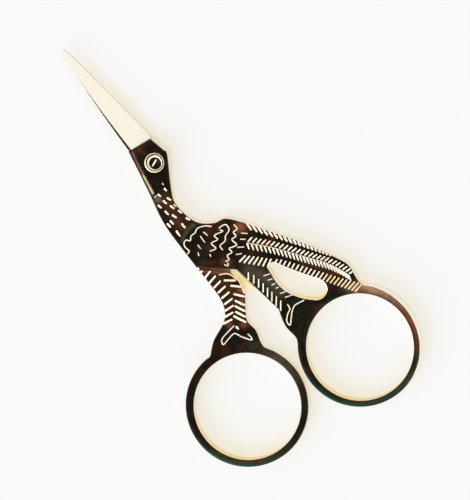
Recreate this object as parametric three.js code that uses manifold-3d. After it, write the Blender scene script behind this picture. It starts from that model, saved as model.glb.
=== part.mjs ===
// Stork embroidery scissors: two one-piece halves that turn on one slotted pivot screw.
// Millimetres, +Z up. The scissors lie on their back face, nearly closed: the beak is the pair of blades,
// the eye is the screw head and each leg ends in a finger ring. The origin is on the pivot axis at the
// back face, +Y runs towards the blade tips and +Z towards the front face.
import * as THREE from "three";
import { mergeVertices } from "three/addons/utils/BufferGeometryUtils.js";
import Module from "manifold-3d";

const wasm = await Module();
wasm.setup();

const at = (x, y) => new THREE.Vector2(x, y);
const radians = THREE.MathUtils.degToRad;
const polar = (centre, bearing, reach) => at(reach, 0).rotateAround(at(0, 0), radians(bearing)).add(centre);
const over = (ring, bearing, height) => polar(ring, bearing, RING_RADIUS + height);

// Thickness, from the back face up
const HALF_THICKNESS = 1.65; // each half, where the two lap at the pivot
const LAP_GAP = 0.1; // running gap between the two inner faces
const EDGE_CHAMFER = 0.2; // along the edges of the outer faces
const INNER_FACE = HALF_THICKNESS; // rear half's inner face
const LAP_FACE = INNER_FACE + LAP_GAP; // front half's inner face
const FRONT_FACE = LAP_FACE + HALF_THICKNESS;

// Blades: both alike, the rear one turned half round about its length
const BLADE_REACH = 27.8; // pivot axis to tip
const BLADE_SHOULDER = 4.4; // pivot axis to where the blade leaves the head
const SPINE_OFFSET = 2.5; // blunt side at the shoulder, from the centre line
const SPINE_TURN_OFFSET = 1.7; // where the blunt side bends in to the tip
const SPINE_TURN_BACK = 7.3; // the same place, back from the tip
const EDGE_OFFSET = 2.4; // cutting side at the shoulder, from the centre line
const EDGE_TURN_OFFSET = 0.75;
const EDGE_TURN_BACK = 3.3;
const SPINE_THICKNESS = 1.25;
const EDGE_THICKNESS = 0.3;
const TIP_THICKNESS = 0.4;
const TANG_DEPTH = 2.2; // how far the blade runs on inside the head
const TANG_INSET = 0.6; // how much narrower it is there, each side

// Bird's head, neck and back, down the right side of the front half
const SHOULDER_SLANT = 0.65; // the chin stands this much further out than the brow
const HEAD_INSET = 0.2; // the head's end is this much narrower than the blade, each side
const CHIN = at(HEAD_INSET - SPINE_OFFSET, BLADE_SHOULDER + SHOULDER_SLANT / 2);
const BROW = at(EDGE_OFFSET - HEAD_INSET, BLADE_SHOULDER - SHOULDER_SLANT / 2);
const CROWN = at(2.6, 0.9);
const POLL = at(2.55, -0.4);
const NAPE = at(-1.0, -5.9);
const NECK_WAIST = at(-2.2, -8.9);
const NECK_HOLLOW = at(-1.2, -13.5);
const SADDLE = at(1.4, -16.05);
const HUMP = at(3.7, -16.6);
const LOIN = at(5.8, -19.3);
const TAIL_MIDDLE = at(11.75, -29.05);
const TAIL_SHOULDER = at(15.45, -36.3);

// Chest, down the left side of both halves, and the body's lower edge
const THROAT = at(-4.1, -3.4);
const NECK_FRONT = at(-5.5, -8.1);
const BREAST = at(-6.2, -12);
const KEEL = at(-6.5, -20.4);
const CROTCH = at(-0.8, -25.5);

// Window between the front half's leg and tail
const WINDOW_CORNER = at(5.0, -28.3); // upper end of its straight side, under the tail
const WINDOW_SLOPE = -60.3; // that side's direction, in degrees
const WINDOW_LENGTH = 12;
const WINDOW_WIDTH = 4.2;
const WINDOW_NOSE = 1; // roundness of its narrow end
const WINDOW_CHEEK = 2.2; // how steeply the leg's side leaves that end

// Finger rings
const RING_BORE_RADIUS = 10.25;
const RING_BAND = 1.4; // from the bore to the outer edge
const RING_ROUND = 0.3; // rounding of the band's edges
const RING_GAP = 1.0; // between the two rings at rest
const FRONT_RING = at(8.1, -51.55);
const RING_BEARING = 168.8; // from the front ring's centre to the rear one's, in degrees
const FRONT_RING_JOIN = [53, 135]; // stretch of the band that tail and leg run into, in degrees
const REAR_RING_JOIN = [35, 88];
const RING_RADIUS = RING_BORE_RADIUS + RING_BAND;
const RING_MIDDLE = RING_BORE_RADIUS + RING_BAND / 2;
const REAR_RING = polar(FRONT_RING, RING_BEARING, 2 * RING_RADIUS + RING_GAP);

// Feet of the tail and the legs: bearing from their ring's centre in degrees, and height over its outer edge
const TAIL_FOOT = [over(FRONT_RING, 58.2, 3.35), over(FRONT_RING, 53.7, 0.95)];
const FRONT_LEG_FOOT = [
  over(FRONT_RING, 132.4, 0.75),
  over(FRONT_RING, 125.2, 3.1),
  over(FRONT_RING, 116.2, 5.35),
];
const REAR_LEG_RIGHT = [
  over(REAR_RING, 51.5, 6.55),
  over(REAR_RING, 50.4, 4.5),
  over(REAR_RING, 44.2, 2.9),
  over(REAR_RING, 39.2, 0.95),
];
const REAR_LEG_LEFT = [
  over(REAR_RING, 83, 1.1),
  over(REAR_RING, 77.1, 2.45),
  over(REAR_RING, 66.3, 4.9),
  over(REAR_RING, 63.9, 7.35),
];

// Rear half's head, which stands out a little behind the front one, its hidden lap and the top of its leg
const HEAD_PEEK = 0.35;
const LAP_HIDE = 0.1; // lap's side behind the neck's narrowest place
const LEG_GAP = 1.2; // between the two legs at the top
const HIP_DROP = 0.7; // lap's side runs this far below the body
const LAP_SIDE = [at(NECK_WAIST.x - LAP_HIDE, NECK_WAIST.y), at(CROTCH.x - LEG_GAP, CROTCH.y - HIP_DROP)];
const KNEE_RIGHT = [at(-1.65, -27.6), at(-2.4, -30)];
const KNEE_LEFT = [at(-6.7, -27.4), at(-6.55, -24)];

// Room to move between the halves
const STEP_GAP = 0.5; // body's lower edge to the rear leg
const LAP_SIDE_GAP = 0.8; // rear half's lap to the front half's pocket wall

// Pivot screw
const SHANK_RADIUS = 1.15;
const THREAD_RADIUS = 0.9;
const HEAD_RADIUS = 1.6;
const HEAD_CHAMFER = 0.35;
const HEAD_PROUD = 0.2; // above the front face
const HEAD_SEAT_DEPTH = 0.75; // counterbore below the front face
const HEAD_SIDE_GAP = 0.25; // head to counterbore wall
const SLOT_WIDTH = 0.4;
const SLOT_DEPTH = 0.4;
const SLOT_BEARING = 21; // in degrees
const RUNNING_CLEARANCE = 0.05; // screw to the holes it passes
const SEAT_CLEARANCE = 0.05; // under the head and the shank's shoulder

// Fineness of curves, and how far cutters run past what they cut
const CURVE_STEPS = 6;
const ROUND_STEPS = 64;
const BORE_STEPS = 40;
const CORNER_STEPS = 1;
const OVERCUT = 1;
const CUTTER_REACH = 60;

/** A closed solid from a closed geometry. */
function solidOf(geometry) {
  const bare = geometry.index ? geometry.toNonIndexed() : geometry.clone();
  bare.deleteAttribute("normal");
  bare.deleteAttribute("uv");
  const merged = mergeVertices(bare);
  return new wasm.Manifold(
    new wasm.Mesh({
      numProp: 3,
      vertProperties: Float32Array.from(merged.attributes.position.array),
      triVerts: Uint32Array.from(merged.index.array),
    }),
  );
}

/** The geometry of a solid. */
function geometryOf(solid) {
  const mesh = solid.getMesh();
  const geometry = new THREE.BufferGeometry();
  geometry.setAttribute("position", new THREE.BufferAttribute(mesh.vertProperties, mesh.numProp));
  geometry.setIndex(new THREE.BufferAttribute(mesh.triVerts, 1));
  geometry.computeVertexNormals();
  return geometry;
}

/** A flat plate of an outline between two heights, with chamfered edges where asked. */
function plate(shape, low, high, chamfer = 0) {
  const geometry = new THREE.ExtrudeGeometry(shape, {
    depth: high - low - 2 * chamfer,
    curveSegments: CURVE_STEPS,
    bevelEnabled: chamfer > 0,
    bevelSegments: 1,
    bevelSize: chamfer,
    bevelThickness: chamfer,
    bevelOffset: -chamfer,
  });
  return solidOf(geometry.translate(0, 0, low + chamfer));
}

/** An upright round bar between two heights. */
function bar(centre, radius, low, high, steps) {
  const geometry = new THREE.CylinderGeometry(radius, radius, high - low, steps);
  return solidOf(geometry.rotateX(Math.PI / 2).translate(centre.x, centre.y, (low + high) / 2));
}

/** A finger ring: a band with rounded edges, as thick as the closed scissors. */
function fingerRing(centre) {
  const section = new THREE.Path();
  const [inner, outer] = [RING_BORE_RADIUS + RING_ROUND, RING_RADIUS - RING_ROUND];
  const [low, high] = [RING_ROUND, FRONT_FACE - RING_ROUND];
  const quarter = Math.PI / 2;
  section.absarc(outer, low, RING_ROUND, -quarter, 0, false);
  section.absarc(outer, high, RING_ROUND, 0, quarter, false);
  section.absarc(inner, high, RING_ROUND, quarter, 2 * quarter, false);
  section.absarc(inner, low, RING_ROUND, 2 * quarter, 3 * quarter, false);
  section.closePath();
  const profile = section.getPoints(CORNER_STEPS);
  const geometry = new THREE.LatheGeometry(profile, ROUND_STEPS);
  return solidOf(geometry.rotateX(Math.PI / 2).translate(centre.x, centre.y, 0));
}

/** Outline of a blade, tip up, its cutting side to the right. */
function bladeOutline() {
  const root = BLADE_SHOULDER - TANG_DEPTH;
  const shape = new THREE.Shape();
  shape.moveTo(TANG_INSET - SPINE_OFFSET, root);
  shape.lineTo(-SPINE_OFFSET, BLADE_SHOULDER);
  shape.quadraticCurveTo(-SPINE_TURN_OFFSET, BLADE_REACH - SPINE_TURN_BACK, 0, BLADE_REACH);
  shape.quadraticCurveTo(EDGE_TURN_OFFSET, BLADE_REACH - EDGE_TURN_BACK, EDGE_OFFSET, BLADE_SHOULDER);
  shape.lineTo(EDGE_OFFSET - TANG_INSET, root);
  shape.closePath();
  return shape;
}

/** Everything above the slanting face that thins a blade from its spine to its edge and tip. */
function groundAway() {
  const spine = new THREE.Vector3(-SPINE_OFFSET, BLADE_SHOULDER, SPINE_THICKNESS);
  const edge = new THREE.Vector3(EDGE_OFFSET, BLADE_SHOULDER, EDGE_THICKNESS);
  const tip = new THREE.Vector3(0, BLADE_REACH, TIP_THICKNESS);
  const across = edge.clone().sub(spine).normalize();
  const up = across.clone().cross(tip.clone().sub(spine)).normalize();
  const along = up.clone().cross(across);
  const placed = new THREE.Matrix4().makeBasis(across, along, up);
  placed.setPosition(spine.clone().addScaledVector(up, CUTTER_REACH / 2));
  const block = new THREE.BoxGeometry(2 * CUTTER_REACH, 2 * CUTTER_REACH, CUTTER_REACH);
  return solidOf(block.applyMatrix4(placed));
}

/** A blade lying on its inner face at height zero. */
function blade() {
  return plate(bladeOutline(), 0, HALF_THICKNESS).subtract(groundAway());
}

/** The teardrop window, from its narrow end down the leg and back up its straight side under the tail. */
function windowOutline() {
  const tail = WINDOW_LENGTH - WINDOW_WIDTH / 2;
  const slope = radians(WINDOW_SLOPE);
  const placed = (along, across) => at(along, -across).rotateAround(at(0, 0), slope).add(WINDOW_CORNER);
  const start = placed(WINDOW_NOSE, 0);
  const end = placed(0, WINDOW_NOSE);
  const round = placed(tail, WINDOW_WIDTH / 2);
  const belly = [placed(WINDOW_NOSE, WINDOW_CHEEK), placed(tail / 3, WINDOW_WIDTH)];
  const low = placed(tail, WINDOW_WIDTH);
  const nose = placed(0, 0);
  const shape = new THREE.Shape();
  shape.moveTo(end.x, end.y);
  shape.bezierCurveTo(belly[0].x, belly[0].y, belly[1].x, belly[1].y, low.x, low.y);
  shape.absarc(round.x, round.y, WINDOW_WIDTH / 2, slope - Math.PI / 2, slope + Math.PI / 2, false);
  shape.lineTo(start.x, start.y);
  shape.quadraticCurveTo(nose.x, nose.y, end.x, end.y);
  return shape;
}

/** Runs an outline along the middle of a ring's band, over the stretch that joins it. */
function alongRing(shape, centre, [from, to]) {
  shape.absarc(centre.x, centre.y, RING_MIDDLE, radians(from), radians(to), false);
}

/** Runs an outline up the chest, from the body's lower corner to the chin. */
function upChest(shape) {
  shape.splineThru([BREAST, NECK_FRONT, THROAT, CHIN]);
}

/** Outline of the front half without its blade and ring. */
function frontOutline() {
  const shape = new THREE.Shape();
  shape.moveTo(CHIN.x, CHIN.y);
  shape.lineTo(BROW.x, BROW.y);
  shape.lineTo(CROWN.x, CROWN.y);
  shape.splineThru([POLL, NAPE, NECK_WAIST, NECK_HOLLOW, SADDLE, HUMP, LOIN]);
  shape.splineThru([TAIL_MIDDLE, TAIL_SHOULDER, ...TAIL_FOOT]);
  alongRing(shape, FRONT_RING, FRONT_RING_JOIN);
  shape.lineTo(FRONT_LEG_FOOT[0].x, FRONT_LEG_FOOT[0].y);
  shape.splineThru(FRONT_LEG_FOOT.slice(1));
  shape.lineTo(CROTCH.x, CROTCH.y);
  shape.lineTo(KEEL.x, KEEL.y);
  upChest(shape);
  return shape;
}

/** Outline of the rear half without its blade and ring. */
function rearOutline() {
  const peek = (point) => point.clone().add(at(HEAD_PEEK, 0));
  const [brow, crown] = [peek(BROW), peek(CROWN)];
  const shape = new THREE.Shape();
  shape.moveTo(CHIN.x, CHIN.y);
  shape.lineTo(brow.x, brow.y);
  shape.lineTo(crown.x, crown.y);
  shape.splineThru([peek(POLL), NAPE, LAP_SIDE[0]]);
  shape.lineTo(LAP_SIDE[1].x, LAP_SIDE[1].y);
  shape.splineThru([...KNEE_RIGHT, ...REAR_LEG_RIGHT]);
  alongRing(shape, REAR_RING, REAR_RING_JOIN);
  shape.lineTo(REAR_LEG_LEFT[0].x, REAR_LEG_LEFT[0].y);
  shape.splineThru([...REAR_LEG_LEFT.slice(1), ...KNEE_LEFT, KEEL]);
  upChest(shape);
  return shape;
}

/** The pocket behind the front half that the rear half's lap lies and turns in. */
function lapPocket() {
  const [top, foot] = LAP_SIDE.map((point) => point.clone().add(at(LAP_SIDE_GAP, 0)));
  const corners = [
    at(-CUTTER_REACH, foot.y),
    foot,
    top,
    at(CUTTER_REACH, top.y),
    at(CUTTER_REACH, CUTTER_REACH),
    at(-CUTTER_REACH, CUTTER_REACH),
  ];
  return plate(new THREE.Shape(corners), -OVERCUT, LAP_FACE);
}

/** Everything over the rear half's lap, down to the step where its leg becomes full thickness. */
function overLap() {
  const along = CROTCH.clone().sub(KEEL).normalize();
  const down = at(along.y, -along.x);
  const edge = [KEEL, CROTCH].map((point) => point.clone().addScaledVector(down, STEP_GAP));
  const corners = [
    edge[0].clone().addScaledVector(along, -CUTTER_REACH),
    edge[1].clone().addScaledVector(along, CUTTER_REACH),
  ];
  const far = corners.map((point) => point.clone().addScaledVector(down, -2 * CUTTER_REACH)).reverse();
  return plate(new THREE.Shape([...corners, ...far]), INNER_FACE, FRONT_FACE + OVERCUT);
}

/** Front half: blade, head, neck, body, tail, leg and ring, bored and counterbored for the screw. */
function frontHalf() {
  const origin = at(0, 0);
  const finger = bar(FRONT_RING, RING_MIDDLE, -OVERCUT, FRONT_FACE + OVERCUT, ROUND_STEPS);
  const bore = bar(origin, SHANK_RADIUS + RUNNING_CLEARANCE, 0, FRONT_FACE + OVERCUT, BORE_STEPS);
  const seat = FRONT_FACE - HEAD_SEAT_DEPTH;
  const counterbore = bar(origin, HEAD_RADIUS + HEAD_SIDE_GAP, seat, FRONT_FACE + OVERCUT, BORE_STEPS);
  const window = plate(windowOutline(), -OVERCUT, FRONT_FACE + OVERCUT);
  return plate(frontOutline(), 0, FRONT_FACE, EDGE_CHAMFER)
    .subtract(window)
    .subtract(finger)
    .add(fingerRing(FRONT_RING))
    .subtract(lapPocket())
    .add(blade().translate([0, 0, LAP_FACE]))
    .subtract(bore)
    .subtract(counterbore);
}

/** Rear half: blade and lap behind the front half, leg and ring at full thickness, and the screw hole. */
function rearHalf() {
  const finger = bar(REAR_RING, RING_MIDDLE, -OVERCUT, FRONT_FACE + OVERCUT, ROUND_STEPS);
  const hole = bar(at(0, 0), THREAD_RADIUS + RUNNING_CLEARANCE, -OVERCUT, INNER_FACE + OVERCUT, BORE_STEPS);
  return plate(rearOutline(), 0, FRONT_FACE, EDGE_CHAMFER)
    .subtract(finger)
    .add(fingerRing(REAR_RING))
    .subtract(overLap())
    .add(blade().rotate([0, 180, 0]).translate([0, 0, INNER_FACE]))
    .subtract(hole);
}

/** Pivot screw: thread end flush with the back face, plain shank, and a slotted head in its counterbore. */
function pivotScrew() {
  const shoulder = INNER_FACE + SEAT_CLEARANCE;
  const seat = FRONT_FACE - HEAD_SEAT_DEPTH + SEAT_CLEARANCE;
  const top = FRONT_FACE + HEAD_PROUD;
  const profile = [
    at(0, 0),
    at(THREAD_RADIUS, 0),
    at(THREAD_RADIUS, shoulder),
    at(SHANK_RADIUS, shoulder),
    at(SHANK_RADIUS, seat),
    at(HEAD_RADIUS, seat),
    at(HEAD_RADIUS, top - HEAD_CHAMFER),
    at(HEAD_RADIUS - HEAD_CHAMFER, top),
    at(0, top),
  ];
  const turned = solidOf(new THREE.LatheGeometry(profile, BORE_STEPS).rotateX(Math.PI / 2));
  const slot = new THREE.BoxGeometry(2 * (HEAD_RADIUS + OVERCUT), SLOT_WIDTH, SLOT_DEPTH + OVERCUT);
  slot.rotateZ(radians(SLOT_BEARING)).translate(0, 0, top - SLOT_DEPTH + (SLOT_DEPTH + OVERCUT) / 2);
  return turned.subtract(solidOf(slot));
}

const bronze = new THREE.MeshStandardMaterial({ color: 0x3a2a22, roughness: 0.45, metalness: 0.9 });
const darkBronze = new THREE.MeshStandardMaterial({ color: 0x33291f, roughness: 0.45, metalness: 0.9 });
const gold = new THREE.MeshStandardMaterial({ color: 0xe8cf9a, roughness: 0.3, metalness: 1.0 });

/** A named mesh of a finished solid. */
function piece(name, solid, material) {
  const mesh = new THREE.Mesh(geometryOf(solid), material);
  mesh.name = name;
  return mesh;
}

const scissors = new THREE.Group();
scissors.add(piece("front_half", frontHalf(), bronze));
scissors.add(piece("rear_half", rearHalf(), darkBronze));
scissors.add(piece("pivot_screw", pivotScrew(), gold));

export default scissors;
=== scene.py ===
"""Stork embroidery scissors with their looks: engraved antiqued halves, ground blades and an eye screw.

Lengths are millimetres until a mesh is made, and bearings and other angles are degrees. The axes are
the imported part's own: +Y from the pivot to the blade tips, +Z out of the front face, and the origin on
the pivot axis at the back face.
"""

import logging
import math
from collections.abc import Sequence
from dataclasses import dataclass, field, replace
from enum import Enum, IntEnum

import bmesh
import bpy
import numpy as np
from mathutils import Matrix, Vector
from mathutils.geometry import delaunay_2d_cdt


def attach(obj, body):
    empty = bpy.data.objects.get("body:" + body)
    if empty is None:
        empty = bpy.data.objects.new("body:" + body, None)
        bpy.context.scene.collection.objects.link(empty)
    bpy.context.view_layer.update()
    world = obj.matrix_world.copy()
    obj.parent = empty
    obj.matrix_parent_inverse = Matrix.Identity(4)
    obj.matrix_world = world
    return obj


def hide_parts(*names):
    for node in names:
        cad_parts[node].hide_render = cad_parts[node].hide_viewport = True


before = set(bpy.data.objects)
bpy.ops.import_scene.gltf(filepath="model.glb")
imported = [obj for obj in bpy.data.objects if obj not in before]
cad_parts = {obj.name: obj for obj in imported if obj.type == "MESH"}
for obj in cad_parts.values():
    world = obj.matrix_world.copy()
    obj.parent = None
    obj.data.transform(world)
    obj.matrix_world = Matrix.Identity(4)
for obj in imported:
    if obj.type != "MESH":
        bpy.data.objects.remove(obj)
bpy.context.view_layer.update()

LOG = logging.getLogger("scissors")
STAINS_AND_LIGHT = "stains_and_light"  # the colours stored on the meshes, stains and painted light, a channel for each Patch
MM = 0.001
MERGE = 1e-4  # points of a finished mesh that are closer than this are one
OVERRUN = 1.0  # how far a cutter stands out past what it cuts
NO_LENGTH = 1e-12  # taken as the square of a path's stretch that has no length
PATH_BLOCK = 2000  # how many points are measured against a path at a time
Point = tuple[float, float]
Span = tuple[float, float]
Path = tuple[Point, ...]
Cut = tuple[float, float, float, float]  # a straight cut's middle, bearing and length


class Surface(IntEnum):
    """The material slots that every piece has, in this order."""

    DARK = 0
    WALL = 1
    LINE = 2
    BLADE = 3


class Join(Enum):
    """How a second solid goes into a first."""

    ADD = "UNION"
    CUT = "DIFFERENCE"


class Patch(IntEnum):
    """The stains, and the painted highlights, reflections and shade, of the finishes, each a channel of
    the colours stored on the mesh.
    """

    # copper stains, and painted copper reflections on the rings and the cheek
    COPPER = 0
    # green stains, and painted teal reflections under the rings
    GREEN = 1
    # wear, and painted highlights, sheen and glints where edges face the light
    WEAR_AND_HIGHLIGHT = 2
    # deeper gold on walls and lines, painted warm shade in the fork among it
    DEEP_GOLD_AND_SHADE = 3


def linear(hex_value: str) -> tuple[float, float, float, float]:
    """Turns an sRGB hex value into a linear colour.

    Args:
        hex_value: Six hex digits, red first.

    Returns:
        Linear red, green, blue and an alpha of one.
    """
    shares = [int(hex_value[i:i + 2], 16) / 255 for i in (0, 2, 4)]
    red, green, blue = (s / 12.92 if s <= 0.04045 else ((s + 0.055) / 1.055) ** 2.4 for s in shares)
    return red, green, blue, 1.0


def add_node(tree: bpy.types.NodeTree, kind: str, settings: dict | None = None,
             inputs: dict | None = None) -> bpy.types.Node:
    """Adds a node with its settings, and sets or links its inputs.

    Args:
        tree: The material's or world's node tree.
        kind: The node's type name.
        settings: Values for the node's own settings, by name.
        inputs: A value, or an output to link from, for each socket by name or number.

    Returns:
        The new node.
    """
    node = tree.nodes.new(kind)
    for name, value in (settings or {}).items():
        setattr(node, name, value)
    for key, value in (inputs or {}).items():
        if isinstance(value, bpy.types.NodeSocket):
            tree.links.new(value, node.inputs[key])
        else:
            node.inputs[key].default_value = value
    return node


def per_mm(size: float) -> float:
    """The texture scale, in repeats a metre, of a pattern with features of this size in millimetres."""
    return 1 / (size * MM)


def polar(centre: Point, bearing: float, reach: float) -> Point:
    """The point at a bearing and a reach from a centre."""
    angle = math.radians(bearing)
    return centre[0] + reach * math.cos(angle), centre[1] + reach * math.sin(angle)


def moved(point: Point, shift: Point) -> Point:
    """The point that lies by a shift from another."""
    return point[0] + shift[0], point[1] + shift[1]


def smooth_through(points: Sequence[Point], steps: int) -> list[Point]:
    """Draws a smooth curve through points.

    Args:
        points: The points that the curve passes, its ends included.
        steps: How many steps each stretch between two points has.

    Returns:
        Points along the curve, from the first given one to the last.
    """
    held = np.array([points[0], *points, points[-1]], float)
    share = np.linspace(0, 1, steps, endpoint=False)[:, None]
    found = []
    for before, start, end, after in zip(held, held[1:], held[2:], held[3:]):
        leave, arrive = (end - before) / 2, (after - start) / 2
        cubic = 2 * start - 2 * end + leave + arrive
        square = 3 * end - 3 * start - 2 * leave - arrive
        found.extend(cubic * share**3 + square * share**2 + leave * share + start)
    found.append(held[-1])
    return [(float(x), float(y)) for x, y in found]


def bezier(corners: Sequence[Point], steps: int) -> list[Point]:
    """Draws a curve that leaves its first corner towards its second and arrives at its last.

    Args:
        corners: Three or four control points.
        steps: How many steps the curve has.

    Returns:
        Points along the curve, both ends included.
    """
    degree = len(corners) - 1
    share = np.linspace(0, 1, steps + 1)[:, None]
    weights = [math.comb(degree, k) * share**k * (1 - share) ** (degree - k) for k in range(degree + 1)]
    curve = sum(weight * np.array(corner) for weight, corner in zip(weights, corners))
    return [(float(x), float(y)) for x, y in curve]


def nearest_on(points: np.ndarray, path: np.ndarray) -> tuple[np.ndarray, np.ndarray, np.ndarray]:
    """Finds where on a path each of many points is nearest.

    Args:
        points: Rows of x and y.
        path: Rows of x and y, joined in order.

    Returns:
        The distances, the numbers of the nearest stretches and the shares along them.
    """
    start, run = path[:-1], np.diff(path, axis=0)
    square = np.maximum((run**2).sum(axis=1), NO_LENGTH)
    parts = []
    for block in np.array_split(points, max(1, len(points) // PATH_BLOCK)):
        offset = block[:, None] - start
        share = np.clip((offset * run).sum(axis=2) / square, 0, 1)
        distance = np.linalg.norm(offset - share[..., None] * run, axis=2)
        best = distance.argmin(axis=1)
        row = np.arange(len(block))
        parts.append((distance[row, best], best, share[row, best]))
    distances, stretches, shares = (np.concatenate(column) for column in zip(*parts))
    return distances, stretches, shares


@dataclass(frozen=True)
class EdgeStyle:
    """How the edge along a stretch of an outline is finished."""

    radius: float  # its rounding
    bare_and_glint: bool = False  # rounding in gold: rubbed down to the gold, and a painted glint where the edge faces the light
    shadow_wall: bool = False  # the wall below it keeps the dark finish, a painted shadow line


PLAIN_EDGE = EdgeStyle(radius=0.22)
CHEST_EDGE = EdgeStyle(radius=0.25)
RING_EDGE = EdgeStyle(radius=0.4)
HOLE_EDGE = EdgeStyle(radius=0.12)
SIDE_EDGE = EdgeStyle(radius=0.05, bare_and_glint=True)
BELLY_EDGE = EdgeStyle(radius=0.12, bare_and_glint=True)
WINDOW_EDGE = EdgeStyle(radius=0.24, bare_and_glint=True)
HIP_EDGE = EdgeStyle(radius=0.3, bare_and_glint=True)
# The wall under the blade's shoulder is painted dark as a shadow line.
SHOULDER_EDGE = EdgeStyle(radius=0.15, shadow_wall=True)


class Outline:
    """A closed line round a plate or a hole in it, each point with its edge's style."""

    CURVE_STEPS = 10
    ARC_STEP = 2.5
    LINE_STEP = 0.8
    SAME_POINT = 1e-6  # points closer than this are one
    EVENING_ROUNDS = 8  # how often the rounding is evened out where two styles meet

    def __init__(self, start: Point, style: EdgeStyle) -> None:
        """Starts the line at a point."""
        self.points: list[Point] = [start]
        self.styles: list[EdgeStyle] = [style]

    def extend(self, points: Sequence[Point], style: EdgeStyle) -> "Outline":
        """Adds points.

        Args:
            points: The points, in order.
            style: The style of the edge along them.

        Returns:
            The outline.
        """
        self.points.extend(points)
        self.styles.extend([style] * len(points))
        return self

    def line(self, end: Point, style: EdgeStyle) -> "Outline":
        """Runs straight to a point.

        Args:
            end: The point.
            style: The style of the edge.

        Returns:
            The outline.
        """
        start = self.points[-1]
        count = max(1, round(math.dist(start, end) / self.LINE_STEP))
        shares = [step / count for step in range(1, count + 1)]
        run = [(start[0] + (end[0] - start[0]) * s, start[1] + (end[1] - start[1]) * s) for s in shares]
        return self.extend(run, style)

    def curve(self, points: Sequence[Point], style: EdgeStyle) -> "Outline":
        """Runs smoothly through points, and returns the outline."""
        return self.extend(smooth_through([self.points[-1], *points], self.CURVE_STEPS)[1:], style)

    def arc(self, centre: Point, radius: float, bearings: Span, style: EdgeStyle) -> "Outline":
        """Runs round a centre.

        Args:
            centre: The centre.
            radius: The distance from it.
            bearings: Where the run starts and where it ends.
            style: The style of the edge.

        Returns:
            The outline.
        """
        count = round(abs(bearings[1] - bearings[0]) / self.ARC_STEP)
        turns = np.linspace(*bearings, count + 1)
        return self.extend([polar(centre, turn, radius) for turn in turns], style)

    def loop(self, hole: bool = False) -> "Loop":
        """Closes the line.

        Args:
            hole: True if the material lies outside the line.

        Returns:
            The loop, running with the material on its left.
        """
        points = np.array(self.points)
        apart = np.linalg.norm(points - np.roll(points, 1, axis=0), axis=1) > self.SAME_POINT
        points = points[apart]
        styles = [style for style, keep in zip(self.styles, apart) if keep]
        x, y = points.T
        area = (x * np.roll(y, -1) - y * np.roll(x, -1)).sum()
        if (area > 0) == hole:
            points, styles = points[::-1], styles[::-1]
        radius = np.array([style.radius for style in styles])
        for _ in range(self.EVENING_ROUNDS):
            radius = (np.roll(radius, 1) + 2 * radius + np.roll(radius, -1)) / 4
        return Loop(
            points=points,
            radius=radius,
            bare_and_glint=np.array([style.bare_and_glint for style in styles]),
            shadow_wall=np.array([style.shadow_wall for style in styles]),
        )


@dataclass
class Loop:
    """A closed outline with the material on its left."""

    points: np.ndarray
    radius: np.ndarray
    bare_and_glint: np.ndarray
    shadow_wall: np.ndarray
    miter_limit: float = 1.6

    def closed(self) -> np.ndarray:
        """The points with the first one again at the end."""
        return np.vstack([self.points, self.points[:1]])

    def inset(self, share: float) -> np.ndarray:
        """Moves the loop into the material.

        Args:
            share: How far, as a share of each point's edge rounding.

        Returns:
            The moved points.
        """
        ahead = np.roll(self.points, -1, axis=0) - self.points
        ahead /= np.linalg.norm(ahead, axis=1)[:, None]
        normal = np.stack([-ahead[:, 1], ahead[:, 0]], axis=1)
        both = normal + np.roll(normal, 1, axis=0)
        both /= np.linalg.norm(both, axis=1)[:, None]
        stretch = np.minimum(1 / (both * normal).sum(axis=1), self.miter_limit)
        return self.points + both * (stretch * self.radius * share)[:, None]


@dataclass(frozen=True)
class Stroke:
    """One engraved line: the path of its middle, and its width at the surface."""

    path: np.ndarray
    width: float
    taper: float = 1.0  # width at its end, to the width at its start
    CAP_STEPS = 3
    FLOOR_SHARE = 0.55  # its flat floor's width, to the width at the surface

    def outline(self, share: float) -> np.ndarray:
        """Draws a line round the stroke.

        Args:
            share: The line's distance from the middle, to the stroke's half width.

        Returns:
            Points round the stroke, with round ends.
        """
        run = np.gradient(self.path, axis=0)
        run /= np.linalg.norm(run, axis=1)[:, None]
        run *= (self.width / 2 * share * np.linspace(1, self.taper, len(run)))[:, None]
        side = np.stack([-run[:, 1], run[:, 0]], axis=1)
        turns = np.linspace(0, math.pi, self.CAP_STEPS + 2)[1:-1]
        last = [self.path[-1] + side[-1] * math.cos(t) + run[-1] * math.sin(t) for t in turns]
        first = [self.path[0] - side[0] * math.cos(t) - run[0] * math.sin(t) for t in turns]
        return np.vstack([self.path + side, last, (self.path - side)[::-1], first])

    def depth_at(self, points: np.ndarray, depth: float) -> np.ndarray:
        """Finds how deep the stroke is cut at each point.

        Args:
            points: Rows of x and y.
            depth: The depth of its floor.

        Returns:
            One depth a point, zero outside the stroke.
        """
        found = np.zeros(len(points))
        reach = self.width / 2
        low, high = self.path.min(axis=0) - reach, self.path.max(axis=0) + reach
        near = ((points > low) & (points < high)).all(axis=1)
        if near.any():
            distance, stretch, share = nearest_on(points[near], self.path)
            along = (stretch + share) / (len(self.path) - 1)
            half = reach * (1 + (self.taper - 1) * along)
            found[near] = depth * np.clip((half - distance) / (half - half * self.FLOOR_SHARE), 0, 1)
        return found


@dataclass(frozen=True)
class CutRow:
    """A row of like cuts along a guide."""

    guide: Path
    count: int
    lengths: Span  # of the first cut and of the last one
    bearings: Span  # of the first cut and of the last one
    width: float
    root: float | None = None  # how far from the guide the cuts start, if they don't lie across it
    bunch: float = 0.0  # how much closer they stand at the end than at the start


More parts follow.
